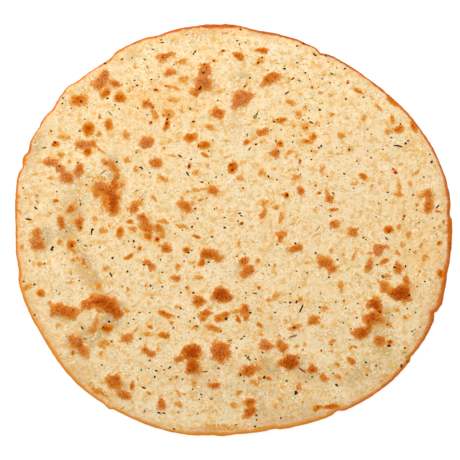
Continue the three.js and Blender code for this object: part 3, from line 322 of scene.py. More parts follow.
# Flecks of dried leaf: x, y, length and width in millimetres, turn, and shade from black to pale olive.
LEAF_FLECKS = [
    (-72, -65.5, 1.2, 1.2, 0, 0), (-55, -64, 1.2, 1.2, 0, 0), (-78, -79.5, 1.3, 1.3, 0, 0.7),
    (-49.5, -77, 1.4, 1.4, 0, 0.8), (-54.5, -82.5, 1.4, 0.9, 80, 0.1), (-50, -81.5, 1, 1, 0, 0.1),
    (-45.5, -83, 2, 1, -10, 0.1), (-46.5, -86.5, 1.6, 1.4, 60, 0), (-52.5, -107, 2, 1.2, 20, 0.8),
    (-35.5, -57.5, 1.4, 1, 80, 0), (-21.5, -56.5, 1.6, 1, -20, 0), (-7, -59.5, 1.5, 1, 30, 0.3),
    (6.5, -62.5, 1.5, 1, 10, 0.6), (13.5, -76, 1.4, 1, -30, 0.1), (9, -75, 2.5, 1.5, 60, 0.7),
    (-8.5, -81.5, 1.3, 1.3, 0, 0.3), (4.5, -85.5, 1.8, 1, -70, 0), (-37.5, -81, 3, 1, 50, 0.2),
    (-24, -94, 1, 1, 0, 0.3), (-19, -97, 1.2, 1, 0, 0.2), (-20, -100, 1, 1, 0, 0.4),
    (-13, -99.5, 2.6, 1.6, 0, 1), (-35, -117.5, 1.6, 1.2, 0, 0.4), (14, -109.5, 1.4, 1.2, 0, 0.5),
    (17.5, -72, 1.8, 1, -35, 0.1), (41.5, -70.5, 1, 1, 0, 0.4), (18.5, -87, 2, 1.4, 70, 0.2),
    (32, -89, 1.6, 1.1, -40, 0), (43.5, -89.5, 1.2, 0.8, 0, 0.4), (47, -86.5, 1.2, 0.9, -20, 0.1),
    (59.5, -84.5, 1.3, 1.1, -30, 0.6), (61.5, -91.5, 2.2, 1.6, -30, 0.3), (28.5, -111, 1.3, 1.1, 0, 0.2),
    (58.5, -67.5, 1.2, 0.9, 0, 0.3), (69.5, -64.5, 1.1, 0.9, 20, 0.1), (79, -78, 1.4, 1, -10, 0.1),
    (85, -80, 1.2, 1.2, 0, 0.3), (100, -80, 2.2, 1.4, 80, 0.3), (102, -69.5, 1.4, 1.3, 0, 0.1),
    (106.5, -59.5, 1.4, 1, 0, 0.1), (79.5, -85.5, 1.2, 1.2, 0, 0.4), (62, -17, 1.4, 1, 0, 0.2),
    (57, -27.5, 1.2, 1.2, 0, 0), (66, -41.5, 1.4, 1, 80, 0.1), (74, -43, 1, 1, 0, 0.3),
    (51.5, -48.5, 1, 1, 0, 0.1), (73.5, -51.5, 1.1, 1.1, 0, 0.4), (65.5, -54.5, 1, 1, 0, 0.3),
    (87, -48, 1.5, 1.3, 0, 0.3), (96, -21.5, 1.6, 1.5, 0, 0), (102.5, -21, 1.6, 1, 80, 0),
    (85.5, -20, 1.3, 1.1, 0, 0.6), (89, -27, 2.2, 2, 0, 0.7), (104.5, -38, 1.5, 1.2, 0, 0.1),
    (-9, 77.5, 1.2, 1.2, 0, 0.2), (45, 67, 1.2, 1, 0, 0), (8.5, 57, 2.5, 0.8, 80, 0.7),
    (22.5, 60, 1.1, 0.8, 0, 0.3), (13.5, 51.5, 1.6, 1.3, 60, 0), (25.5, 53.5, 1.5, 1, 80, 0.4),
    (35.5, 53, 1.3, 1.1, 0, 0.5), (-14.5, 47.5, 1, 1, 0, 0), (27, 47.5, 1, 1, 0, 0.3),
    (-10, 32, 1.3, 1, 0, 0), (-18.5, 29, 2, 1, -20, 0.1), (-14.5, 28.5, 1.2, 1, 0, 0.5),
    (21, 32.5, 1.3, 1.3, 0, 0), (26, 30.5, 1.2, 1, 0, 0.3), (6, 25.5, 1.3, 1.1, 0, 0.4),
    (-6.5, 33.5, 1, 1, 0, 0.4), (-91, 59.5, 1.6, 1.2, 0, 0.6), (-112, 49.5, 3, 0.9, 10, 0.6),
    (-69, 41, 1.3, 1.2, 0, 0), (-103, 38.5, 1.4, 1, 0, 0), (-92, 40.5, 1.2, 1, 0, 0.2),
    (-104.5, 23.5, 1.1, 1, 0, 0.5), (-87, 27.5, 1.3, 1, 0, 0.5), (-90.5, 16, 1.5, 1, 80, 0.3),
    (-117, 13.5, 2.5, 1, -35, 0.2), (-123, 19.5, 1.2, 1.1, 0, 0.5), (-77, 35, 5, 0.7, 35, 0.9),
    (118, 41, 2, 1.4, 70, 0), (52.5, 50.5, 1.6, 1.2, 0, 0.1), (51, 49.5, 1.4, 1, 30, 0.2),
    (-58.5, 89.5, 1.2, 1, 0, 0.1), (-57, 86.5, 1.3, 1.2, 0, 0), (-48.5, 90, 1.2, 1, 0, 0),
    (-44, 91.5, 1, 1, 0, 0.4), (-56.5, 73, 1.2, 1, 0, 0.4), (-67.5, 72.5, 1.2, 1, 0, 0.3),
    (-25.5, 72.5, 1.2, 1, 0, 0.2), (-22.5, 106.5, 2.6, 1, 50, 0.5), (-23.5, 105, 1.2, 1, 0, 0.1),
    (-52.5, 102, 2, 1, -30, 0.7), (-47.5, 108, 2, 1, -15, 0.8), (-42, 112, 2.6, 0.8, 0, 0.4),
    (-42.5, 113.5, 2, 0.8, 0, 0.8), (-60, 103, 1, 1, 0, 0.5), (-35, 99, 1, 1, 0, 0.6),
    (-51, 97.5, 2, 1, -60, 0.9), (-41.5, 103, 1, 0.8, 0, 0.2), (-35, 62.5, 1.2, 0.8, 70, 0.6),
    (-12, 54, 1, 1, 0, 0.5), (-51, 69, 1, 1, 0, 0.5), (-63, 87.5, 1, 1, 0, 0.8),
    (-49.5, 34.5, 1.1, 1.1, 0, 0.2), (-25, 42.5, 1.2, 1, 0, 0.4), (-54, 18.5, 1.1, 1.1, 0, 0.5),
    (-22.5, 13.5, 1.3, 1, 0, 0.2), (-11, 13, 1, 1, 0, 0.3), (-24.5, 2.5, 1.3, 1.3, 0, 0),
    (-5, 2, 2, 1.2, -15, 0.1), (-21, 7.5, 1.5, 1.2, 60, 0.7), (-12.5, -3.5, 1.5, 1.3, 0, 0.4),
    (-59, -6, 1.6, 1.6, 0, 0.5), (-62, -6, 1.2, 1, 0, 0.6), (-5, 8, 1.6, 1, 0, 0.6),
    (-57.5, 46.5, 1, 1, 0, 0.1), (-15.5, 19.5, 1, 1, 0, 0.5), (-40.5, 23, 1, 1, 0, 0.7),
    (-57, 24, 1.2, 1, 0, 0.7), (-27, 23.5, 1.4, 1.4, 0, 0.9), (-30, 0.5, 1, 1, 0, 0.4),
    (-34.5, -1.5, 1, 1, 0, 0.5), (46.5, 47.5, 1.2, 1.2, 0, 0.1), (46.5, 42.5, 1.2, 1.2, 0, 0.1),
    (56, 32.5, 1, 1, 0, 0.5), (38.5, 36.5, 2, 0.8, -60, 0.7), (40, 33.5, 2, 0.8, 70, 0.5),
    (30.5, 24.5, 0.8, 0.8, 0, 0.3), (59.5, 22.5, 1.6, 1.2, -40, 0.5), (52.5, 15, 1, 0.9, 0, 0.4),
    (49.5, 14, 0.8, 0.8, 0, 0.6), (58, 9, 1.6, 1, -50, 0.3), (4, 10.5, 2, 1, 10, 0),
    (5, 9, 1.8, 0.9, -10, 0.1), (3, 6, 1.2, 1, 0, 0.4), (10, 49, 3, 0.8, 45, 0.6),
    (50.5, 1.5, 5, 0.7, 50, 0.8), (58, 1.5, 1, 0.8, 0, 0.4), (61.5, 49.5, 1, 1, 0, 0.5),
    (36, 56.5, 1, 1, 0, 0.5), (40.5, 56.5, 1, 1, 0, 0.6), (69, 48.5, 1.4, 1.2, 0, 0.1),
    (82, 57.5, 1, 1, 0, 0.6), (80, 47.5, 1, 1, 0, 0.4), (89, 48.5, 1, 1, 0, 0.5),
    (82, 43.5, 1.2, 1.2, 0, 0.5), (73.5, 41.5, 1, 1, 0, 0.4), (102.5, 52, 1.6, 1.4, 0, 0.1),
    (104, 53.5, 1.3, 1, 0, 0.1), (94, 55.5, 1.3, 1, 0, 0.4), (113.5, 32, 1.3, 1, 0, 0.2),
    (66, 34, 1.6, 1, -60, 0.2), (76.5, 28, 1.1, 0.9, 0, 0.4), (92, 23, 1.8, 1, 30, 0.3),
    (107, 21.5, 1.6, 1.2, 0, 0.5), (86.5, 16.5, 1.2, 1, 0, 0.6), (91, 18.5, 1.4, 1, 0, 0.7),
    (101, 7, 1.2, 1, 0, 0.3), (109, 12.5, 1, 1, 0, 0.5), (110.5, 5, 1.2, 0.9, 0, 0.5),
    (119.5, 2, 1.1, 1, 0, 0.3), (118.5, 7.5, 1, 1, 0, 0.6), (85, 8.5, 1, 0.9, 0, 0.6),
    (77.5, -4, 1.6, 1, 0, 0.4), (71.5, 25.5, 1, 1, 0, 0.7), (66.5, 96.5, 1.8, 1, 10, 0.3),
    (61.5, 97, 1, 1, 0, 0.6), (67, 78.5, 1.6, 1.4, 80, 0.6), (57.5, 88, 1.4, 1, 0, 0.7),
    (58.5, 93.5, 2.5, 1, -30, 0.6), (77.5, 79.5, 1.5, 1, 0, 0.5), (80, 60.5, 1, 1, 0, 0.5),
    (99.5, 63.5, 1.3, 1.2, 0, 0.4), (56.5, 64, 1.2, 1, 0, 0.4), (-58.5, -9.5, 1.2, 1, 0, 0.5),
    (-43, -17, 1.2, 1.1, 0, 0.2), (-53, -20, 1.6, 1.2, -40, 0.2), (-62.5, -24, 1.6, 1, 90, 0),
    (-42, -24.5, 1.4, 1.1, 0, 0.6), (-26.5, -12.8, 1.5, 1.3, 0, 0), (-24.5, -11.5, 1, 1, 0, 0.5),
    (-14.5, -18.5, 2, 1.2, -15, 0), (-49, -32.5, 1.6, 1.2, -45, 0.1), (-47.8, -34, 0.8, 0.8, 0, 0.5),
    (-42, -33, 1.4, 1.1, 20, 0.2), (-31, -36.5, 1.2, 1.1, 0, 0.3), (-23.5, -36.7, 1.6, 1.2, 20, 0),
    (-27.7, -33.3, 1, 0.9, 0, 0.3), (-31, -46, 1.3, 1.1, -50, 0.3), (-55.5, -48.5, 1.4, 1.1, 0, 0.4),
    (-49.5, -48.5, 1, 0.9, 0, 0.6), (-59, -52.5, 1.1, 1, 0, 0.3), (-62, -54.7, 1.2, 1.1, 0, 0.4),
    (-32.5, -51, 1.2, 1.1, 0, 0.5), (-23, -51.7, 1.4, 1, 0, 0.4), (-25.5, -53.5, 1.2, 1.1, 0, 0.5),
    (-4, -52, 2, 1.4, 0, 0.2), (-41, -108.2, 2.2, 1, -10, 0), (-42.5, -80.3, 1, 1, 0, 0.5),
    (-41, -82.5, 1, 1, 0, 0.5), (6.5, -89, 1.2, 1, 0, 0.3), (2, -69.5, 1.6, 1, -50, 0.5),
    (5, -64, 2, 1, 30, 0.6), (-2, -65, 3, 1, 10, 0.8), (10, -76.5, 1.5, 1.2, 0, 0.6),
    (7.5, -74, 1.5, 1, 40, 0.7), (14, -112, 1.3, 1.2, 0, 0.6), (13, -116, 1.4, 1.2, 0, 0.1),
    (2, -115, 1.5, 0.8, 0, 0.5), (-30, -88, 1.2, 1, 0, 0.6), (-14, -88.5, 1.5, 1, 60, 0.8),
    (-29, -97, 1.2, 1, 0, 0.7), (-21, -108.5, 1.2, 1, 0, 0.7), (-32.5, -107.5, 1, 1, 0, 0.7),
    (-26, -60.5, 0.8, 0.8, 0, 0.6), (37.3, -95.6, 2.4, 1.4, 75, 0), (2.3, 113, 1.2, 1, 0, 0.3),
    (3.7, 111, 1, 1, 0, 0.4), (7.5, 112, 1, 1, 0, 0.6), (38, 110, 1.2, 1.1, 0, 0.3),
    (38, 100, 1.4, 1.2, 0, 0.7), (30.5, 96.4, 1.8, 1.1, 10, 0), (43, 94, 1.4, 1.1, 0, 0),
    (10, 91, 1.3, 1.1, 60, 0.4), (15, 100, 1.5, 1.2, 40, 0.3), (17.3, 103.2, 1.1, 1, 0, 0.3),
    (49, 104.3, 1.4, 1.2, 0, 0), (48, 105.3, 1.5, 1.1, 60, 0.6), (55, 104, 1.5, 1, -20, 0),
    (51.5, 72, 1.8, 1.3, 20, 0.1), (41.5, 66, 1, 1, 0, 0.4), (53, 90.5, 1.6, 1, 10, 0.8),
    (45.5, 90, 1, 1, 0, 0.6), (39.5, 89.3, 1.4, 1, 0, 0.6), (28.5, 60.2, 1.2, 1, 0, 0.7),
    (14.3, 69.6, 1.6, 1, 60, 0.6), (7, 86, 1.4, 1.1, 40, 0.4), (26.5, 66.2, 1, 1, 0, 0.3),
    (43, 74, 1.2, 1, 60, 0.7), (51.5, 62.5, 1, 0.9, 0, 0.6), (79, -5, 1, 1, 0, 0.6),
    (91, -4.3, 2.5, 1, -50, 0.7), (105, -11, 1, 1, 0, 0.4), (110.8, -24, 1.6, 1, 80, 0.7),
    (114, -30, 1.3, 1, 0, 0.3), (109.3, -33, 1.3, 1, -60, 0.4), (67, -46, 1.2, 1, 0, 0.5),
    (70, -58, 1, 1, 0, 0.4), (103.5, -46, 1.2, 1, 0, 0.5), (108.5, -48.3, 1, 1, 0, 0.5),
    (108, -58.5, 1, 1, 0, 0.7), (111, -57, 1, 1, 0, 0.6), (117, -29, 1, 1, 0, 0.6),
    (94.5, -50, 1, 1, 0, 0.7), (-101.3, 75.7, 1.4, 1.1, 20, 0.1), (-101, 79, 1.2, 1, 60, 0.5),
    (-76, 99.5, 1.4, 1, 0, 0.2), (-74.5, 78.8, 1.6, 1.3, 0, 0.1), (-70, 74.8, 1.2, 1, 0, 0.5),
    (-88, 66.4, 1.2, 1, 0, 0.7), (-96, 73, 1, 1, 0, 0.6), (-73, 70, 3, 0.7, -50, 0.7),
    (-66, 102, 2, 1, 30, 0.6), (-86.5, 73.5, 1, 1, 0, 0.7), (-107, -9.5, 1.6, 1.4, 0, 0),
    (-107.7, -11, 1.6, 1.3, 0, 0), (-71.5, -16, 1.5, 1.3, 0, 0), (-120.7, -17.7, 1.2, 1.1, 0, 0.1),
    (-112, -19.3, 1, 1, 0, 0.6), (-112.5, -5, 1.2, 1, 0, 0.5), (-92, -5.5, 1.4, 1.1, 20, 0.4),
    (-87.5, -8.7, 2.5, 1, -20, 0.7), (-84.5, -8.7, 1.5, 0.8, 0, 0.8), (-79, -9.8, 1.2, 1, 0, 0.5),
    (-89.5, -34, 1.5, 1, -50, 0.7), (-118, -31.8, 2, 1.1, 20, 0.3), (-124.3, -30, 1.2, 1.1, 0, 0.1),
    (-117.7, -49.8, 1.5, 1.2, 0, 0.5), (-73.5, -53.8, 1.6, 1.2, 0, 0), (-77, -57, 1.5, 1.2, 40, 0.4),
    (-88, -64, 1.3, 1, 0, 0.5), (-65.5, -33, 1.2, 1, 0, 0.6), (-90.5, 1.8, 1.3, 1, 0, 0.3),
    (-83.3, 1, 1.5, 1.2, 80, 0), (-99, -0.3, 1, 1, 0, 0.5), (-116, 17, 3, 0.7, -50, 0.8),
    (-91, 18.5, 2, 0.7, -60, 0.6), (13, 68, 3, 2.6, 50, 0.9), (-17, -83.5, 5, 0.8, 10, 0.5),
    (37, -7.3, 1.4, 1.2, 0, 0.3), (34, -42.5, 1.5, 1.4, 0, 0.1), (37.8, -42, 2.4, 1.2, 55, 0.1),
    (10, -48.5, 2, 1.2, 0, 0), (25, -48.3, 1.5, 1.1, 20, 0.4), (26.2, -8, 1.2, 1.1, 0, 0.6),
    (31, -42.3, 1.2, 1, 0, 0.4), (51.5, -45.3, 1.6, 1.1, 0, 0.5), (13, -37, 3, 1, -10, 0.7),
    (7.6, -36.5, 1.2, 1, 0, 0.6), (7.5, -39.7, 1.2, 1, 0, 0.7), (37.8, -23.8, 1, 1, 0, 0.5),
    (21.5, -20.2, 1.4, 1.2, 0, 0.7), (44, -24.8, 1.8, 1, 40, 0.8), (39.4, -33.5, 1.2, 1.1, 0, 0.7),
    (34, -37.2, 1.3, 1, 0, 0.7), (52, -37, 1.3, 1, 0, 0.8), (2.2, -15, 1.4, 1, -20, 0.7),
    (7, -13.6, 1.8, 0.9, 10, 0.8), (61, -42.2, 1.2, 1, 0, 0.7),
]

# Yellow-green bits: x, y, length and width in millimetres, turn, and shade from olive to pale.
GREEN_BITS = [
    (81, -32, 2.5, 1.5, 90, 0.5), (78, -7, 1, 1, 0, 0.5), (11, 27.5, 2.4, 1, -10, 0.5),
    (33.5, 9.5, 2.5, 1.2, 80, 0.9), (42, 8.5, 2, 1, 70, 0.9), (-32, 58.5, 2.5, 0.8, 40, 0.5),
    (103, -74.5, 3, 2, 60, 0.1), (101.5, -72, 2.5, 1.5, 0, 0.2), (80, -67.5, 4, 1, -40, 0.6),
    (56.5, -80.5, 3, 1, -50, 0.6), (58, -82, 3, 1, -60, 0.6), (92, -73, 3, 2, 0, 0.6),
    (107.5, -61, 3, 1.5, 60, 0.3), (52.5, 76.3, 3, 1.8, 30, 0.5), (30.5, 98.5, 2, 1, 60, 0.5),
    (26, 99.5, 2.5, 1, 0, 0.2), (8, 104.5, 3, 1, -30, 0.3), (45, 79, 4, 1.5, 0, 0.95),
    (60.5, 93, 2.5, 1, -40, 0.3), (63, 87, 1.5, 2, 0, 0.9), (-96, -25, 2.5, 1, 90, 0.1),
    (-103, -37, 1.6, 1.4, 60, 0.1), (-117, -15.5, 2.5, 1, -70, 0.5), (67.8, -22, 3.2, 1.6, 55, 0.95),
    (66.6, -23.8, 2.6, 1.4, 35, 1), (68.8, -21.4, 1.6, 1.2, 0, 0.8),
]

# Toasted beads: x, y, length and width in millimetres, turn, and shade from dark red to orange.
TOASTED_BEADS = [
    (92.5, -68, 2.2, 1.7, 0, 0), (-108, 59.5, 1.2, 1.2, 0, 0.3), (49, -13, 1.4, 1.4, 0, 0.3),
    (91.5, -55.5, 1.2, 1.2, 0, 0.3), (103.5, -77.5, 1.2, 1.2, 0, 0.3), (32, 21.5, 1.8, 1.8, 0, 0.15),
    (28, 52, 1.2, 1.2, 0, 0.3), (40, 41.5, 1, 1, 0, 0.3), (43.5, 61.5, 1, 1, 0, 0.3),
    (95, 37, 1.2, 1.2, 0, 0.4), (93.5, -65.5, 1.2, 1.2, 0, 0.3), (-0.5, 36, 1.5, 1.5, 0, 0.1),
    (-17.5, 94, 2, 1.2, 0, 0.05), (-17, 99, 1.5, 1.5, 0, 0.35), (-16, 97, 1, 1, 0, 0.35),
    (-46, 84, 2, 1, 0, 0.3), (-39, 66.5, 1.4, 1.4, 0, 0), (-39.5, 64, 1.8, 1.4, 60, 0.25),
    (-48.5, 64.5, 1.4, 1.4, 0, 0.35), (-41.5, 69, 1, 1, 0, 0.05), (-38, 69, 1, 1, 0, 0.3),
    (-23.5, 65, 2, 1.3, 0, 0), (-40, 86, 1.5, 1, 0, 0.35), (-47.5, 73.5, 1.2, 1, 0, 0.3),
    (-50, 78, 1, 1, 0, 0.35), (-6, 107, 2, 1.2, 10, 0.35), (-11.5, 101, 1.5, 1.2, 0, 0.35),
    (5, 4.5, 1.6, 1.3, 0, 0.4), (51.5, 22.5, 1.4, 1.4, 0, 0.5), (49, 27, 1.4, 1.4, 0, 0.6),
    (117, 45.5, 1.2, 1, 0, 0.15), (96.5, 34.5, 2, 1.4, 0, 0.3), (101.5, 9, 1.6, 1.2, 0, 0.3),
    (92.5, -0.5, 1.3, 1.3, 0, 0.2), (68, 88, 1.6, 1.4, 0, 0.5), (-90.3, 77, 1.8, 1.4, 30, 0.05),
    (52.5, -71, 1.4, 1.4, 0, 0.35), (47, 85.3, 1.5, 1.3, 0, 0.6), (50.7, 85.3, 1.2, 1, 0, 0.9),
    (27.5, -61.7, 1.1, 1.1, 0, 0.9), (30.3, -63.9, 1.2, 1.2, 0, 0.9), (56.5, 100.5, 1.2, 1, 0, 0.4),
    (-29, -18, 1, 1, 0, 0.2), (73, -69, 1.6, 1.6, 0, 1), (42, 111.5, 2, 1.2, -25, 0),
    (4.5, 119.8, 1.6, 1.1, 0, 0), (-95.7, -8.8, 1.6, 1.4, 0, 0.3), (-124.7, 25.6, 1.4, 1.2, 0, 0.15),
    (-26, 38.6, 1.8, 1.6, 90, 0.25), (-20.5, 50.5, 2.6, 1, 85, 0.4), (-1.5, 39.3, 1.8, 1.2, 30, 0.4),
    (-45, -4.8, 2.2, 1.8, 30, 0.4), (122.5, -6.7, 1.6, 1.5, 0, 0.7), (-105.7, 52.6, 2, 1.8, 0, 0.25),
    (36.3, -57.3, 1.6, 1.4, 0, 0.15),
]


def linear(red, green, blue):
    """A colour read in 0 to 255 as a screen shows it, as the linear values that a shader takes."""
    shares = [value / 255 for value in (red, green, blue)]
    return tuple(s / 12.92 if s <= 0.04045 else ((s + 0.055) / 1.055) ** 2.4 for s in shares)


def colour_property(name, description, *screen):
    return bpy.props.FloatVectorProperty(
        name=name, description=description, subtype="COLOR", size=3, min=0, max=1, default=linear(*screen)
    )


def length_property(name, description, millimetres):
    return bpy.props.FloatProperty(
        name=name, description=description, unit="LENGTH", default=millimetres * MM
    )


def count_property(name, description, number):
    return bpy.props.IntProperty(name=name, description=description, min=0, default=number)


class CrustForm(bpy.types.PropertyGroup):
    """Sizes of the crust's fine relief."""

    swell: length_property("Swell", "Height of the unevenness of the top", 0.3)
    crumb: length_property("Crumb", "Height of the cauliflower crumb on the top", 0.1)
    wrinkle: length_property("Wrinkle", "Height of the wrinkles on toasted spots", 0.18)
    puff: length_property("Puff", "Height of the small toasted spots", 0.25)
    stray: length_property("Stray", "How far the spots' edges wander", 1.2)
    base_relief: length_property("Base relief", "Height of the unevenness of the underside", 0.08)


class CrustColours(bpy.types.PropertyGroup):
    """Colours of the bake, and of the painted light and shade on it."""

    pale: colour_property("Pale", "Lightest dough", 255, 236, 200)
    cream: colour_property("Cream", "Plain baked dough", 245, 219, 171)
    gold: colour_property("Gold", "First colour of the bake", 236, 179, 86)
    peach: colour_property("Peach", "Pinker patches of dough", 253, 226, 180)
    honey: colour_property("Honey", "Golden patches of dough", 249, 205, 140)
    # Ivory pales the dough in broad patches, and is also painted light where the patches of painted light and
    # shade are below 0.
    ivory_and_painted_light: colour_property("Ivory", "Broad pale patches of dough", 246, 224, 184)
    dim: colour_property("Dim", "Hollows between crumbs", 202, 166, 108)
    sage: colour_property("Sage", "Grey-green patches of dough", 216, 199, 142)
    # Painted shade: the dough darkened in dips, creases, towards the bottom and by the edge that faces the
    # lamp.
    painted_shade: colour_property("Dusk", "Darker dough in dips", 196, 158, 100)
    amber: colour_property("Amber", "Small toasted spots", 226, 141, 54)
    brown: colour_property("Brown", "Toasted blisters", 214, 105, 2)
    dark: colour_property("Dark", "Deeply toasted blisters", 162, 58, 0)
    rose: colour_property("Rose", "Lighter, pinker parts of toasted blisters", 214, 138, 80)
    rim: colour_property("Rim", "The baked edge", 216, 101, 0)
    # The edge's own golden bake, and painted light where the lamp leaves the edge in shade.
    rim_gold: colour_property("Golden rim", "The baked edge where it is lightest", 249, 158, 44)
    blush: colour_property("Blush", "Browned dough beside the edge", 231, 155, 76)
    # Burnt bits of the edge, and painted shade where the edge faces the lamp or lies under painted shade.
    char: colour_property("Char", "Burnt bits of the edge", 152, 72, 0)
    base: colour_property("Base", "The underside", 226, 180, 116)
    speck: colour_property("Speck", "Tiny specks of herb in the dough", 120, 100, 70)


class BitSizes(bpy.types.PropertyGroup):
    """Numbers and sizes of the bits in the top."""

    flecks: count_property("Flecks", "Number of strewn leaf flecks", 40)
    greens: count_property("Greens", "Number of strewn yellow-green bits", 50)
    beads: count_property("Beads", "Number of strewn toasted beads", 16)
    fleck: length_property("Fleck", "Length of a middling strewn leaf fleck", 1.0)
    green: length_property("Green", "Length of a middling yellow-green bit", 1.5)
    bead: length_property("Bead", "Width of a middling toasted bead", 1.0)
    stem: length_property("Stem", "Thickness of a herb stem", 0.95)


class StageSizes(bpy.types.PropertyGroup):
    """The camera over the crust and the light on it."""

    view_width: length_property("View width", "Width of the picture at the crust's top", 272.9)
    view_x: length_property("View X", "Middle of the picture, to the right of the crust's middle", -2.12)
    view_y: length_property("View Y", "Middle of the picture, beyond the crust's middle", 0.16)
    camera_height: length_property("Camera height", "Height of the camera over the crust", 1400)
    sky: bpy.props.FloatProperty(name="Sky", description="Strength of the light from all round", default=0.45)
    key: bpy.props.FloatProperty(
        name="Key", description="Power of the soft light above", unit="POWER", default=8.4
    )


class Socket:
    """A shader socket that can be used in sums."""

    def __init__(self, finish, socket):
        self.finish = finish
        self.socket = socket

    def join(self, operation, first, second):
        return self.finish.node("ShaderNodeMath", {"operation": operation}, {0: first, 1: second})

    def __add__(self, other):
        return self.join("ADD", self, other)

    def __radd__(self, other):
        return self.join("ADD", other, self)

    def __sub__(self, other):
        return self.join("SUBTRACT", self, other)

    def __rsub__(self, other):
        return self.join("SUBTRACT", other, self)

    def __mul__(self, other):
        return self.join("MULTIPLY", self, other)

    def __rmul__(self, other):
        return self.join("MULTIPLY", other, self)

    def __truediv__(self, other):
        return self.join("DIVIDE", self, other)

    def __rtruediv__(self, other):
        return self.join("DIVIDE", other, self)


class Finish:
    """A material whose nodes are made by calls. Sizes are in millimetres."""

    SPECULAR = 0.02  # all of these finishes are dry
    DOT_FADE = (0.2, 1.2)  # shares of a dot's radius over which it fades
    SHARP = 0.01  # half the width of a step that looks sharp

    def __init__(self, name):
        self.material = bpy.data.materials.new(name)
        self.material.use_nodes = True
        self.tree = self.material.node_tree
        self.tree.nodes.clear()

    def node(self, kind, settings=None, sockets=None, output=0):
        """Adds a node, sets it, fills its sockets and returns one of its outputs."""
        made = self.tree.nodes.new(kind)
        for name, value in (settings or {}).items():
            if name == "stops":
                self.set_stops(made.color_ramp, value)
            else:
                setattr(made, name, value)
        for name, value in (sockets or {}).items():
            entry = self.find(made.inputs, name)
            if isinstance(value, Socket):
                self.tree.links.new(value.socket, entry)
            elif entry.type == "RGBA":
                entry.default_value = (*value, 1)
            else:
                entry.default_value = value
        return Socket(self, self.find(made.outputs, output)) if made.outputs else None

    @staticmethod
    def find(sockets, name):
        """A socket by its number, its identifier or its name."""
        if isinstance(name, int):
            return sockets[name]
        named = [entry for entry in sockets if entry.identifier == name]
        return named[0] if named else sockets[name]

    @staticmethod
    def set_stops(ramp, stops):
        while len(ramp.elements) < len(stops):
            ramp.elements.new(1)
        for element, (place, colour) in zip(ramp.elements, stops):
            element.position = place
            element.color = (*colour, 1)

    def millimetres(self):
        """The place on the piece, in millimetres."""
        place = self.node("ShaderNodeTexCoord", output="Object")
        return self.node("ShaderNodeVectorMath", {"operation": "SCALE"}, {0: place, "Scale": 1 / MM})

    def attribute(self, name):
        return self.node("ShaderNodeAttribute", {"attribute_name": name}, output="Fac")

    def shifted(self, place, amount):
        return self.node("ShaderNodeVectorMath", {"operation": "ADD"}, {0: place, 1: amount})

    def noise(self, place, size, detail=2.0, roughness=0.5, shift=0.0):
        """Noise from 0 to 1 with bumps of a size. A shift gives another pattern."""
        moved = self.shifted(place, (shift, shift, shift))
        sockets = {"Vector": moved, "Scale": 1 / size, "Detail": detail, "Roughness": roughness}
        return self.node("ShaderNodeTexNoise", {"noise_dimensions": "3D"}, sockets, "Fac")

    def centred(self, *pattern, **settings):
        """The same noise, from -0.5 to 0.5."""
        return self.noise(*pattern, **settings) - 0.5

    def wandering(self, place, size, amount):
        """Places that wander by up to about an amount, so that round shapes turn uneven."""
        sockets = {"Vector": place, "Scale": 1 / size, "Detail": 1.0}
        noise = self.node("ShaderNodeTexNoise", None, sockets, "Color")
        centred = self.shifted(noise, (-0.5, -0.5, -0.5))
        sized = self.node("ShaderNodeVectorMath", {"operation": "SCALE"}, {0: centred, "Scale": 2 * amount})
        return self.shifted(place, sized)

    def step(self, value, low, high):
        """0 below low, 1 above high and a smooth rise between them."""
        sockets = {"Value": value, "From Min": low, "From Max": high, "To Min": 0.0, "To Max": 1.0}
        return self.node("ShaderNodeMapRange", {"interpolation_type": "SMOOTHSTEP"}, sockets, "Result")

    def mix(self, first, second, share, strength=1.0):
        """The first colour with a share of the second laid over it, of a strength at most."""
        sockets = {"Factor_Float": share * strength, "A_Color": first, "B_Color": second}
        return self.node("ShaderNodeMix", {"data_type": "RGBA"}, sockets, "Result_Color")

    def ramp(self, value, stops):
        """A colour that runs through stops of place and colour."""
        return self.node("ShaderNodeValToRGB", {"stops": stops}, {"Fac": value}, "Color")

    def dots(self, place, room, presence, smallest, largest, shift=0.0):
        """A mask of scattered dots. Each has a room to itself, and a share of them shows."""
        settings = {"voronoi_dimensions": "2D", "feature": "F1"}
        sockets = {"Vector": self.shifted(place, (shift, shift, 0.0)), "Scale": 1 / room, "Randomness": 1.0}
        away = self.node("ShaderNodeTexVoronoi", settings, sockets, "Distance") * room
        chance = self.node("ShaderNodeTexVoronoi", settings, sockets, "Color")
        first = self.node("ShaderNodeSeparateColor", None, {"Color": chance}, "Red")
        second = self.node("ShaderNodeSeparateColor", None, {"Color": chance}, "Green")
        radius = first * first * (largest - smallest) + smallest
        shown = self.step(second, 1 - presence - self.SHARP, 1 - presence + self.SHARP)
        return (1 - self.step(away / radius, *self.DOT_FADE)) * shown

    def end(self, colour, roughness, bump, depth):
        """Ends the material with a shader of this colour, roughness and bump, and returns the material."""
        heights = {"Height": bump, "Strength": 1.0, "Distance": depth * MM}
        sockets = {
            "Base Color": colour,
            "Roughness": roughness,
            "Specular IOR Level": self.SPECULAR,
            "Normal": self.node("ShaderNodeBump", None, heights, "Normal"),
        }
        self.show(self.node("ShaderNodeBsdfPrincipled", None, sockets, "BSDF"))
        return self.material

    def show(self, shader):
        self.node("ShaderNodeOutputMaterial", None, {"Surface": shader})


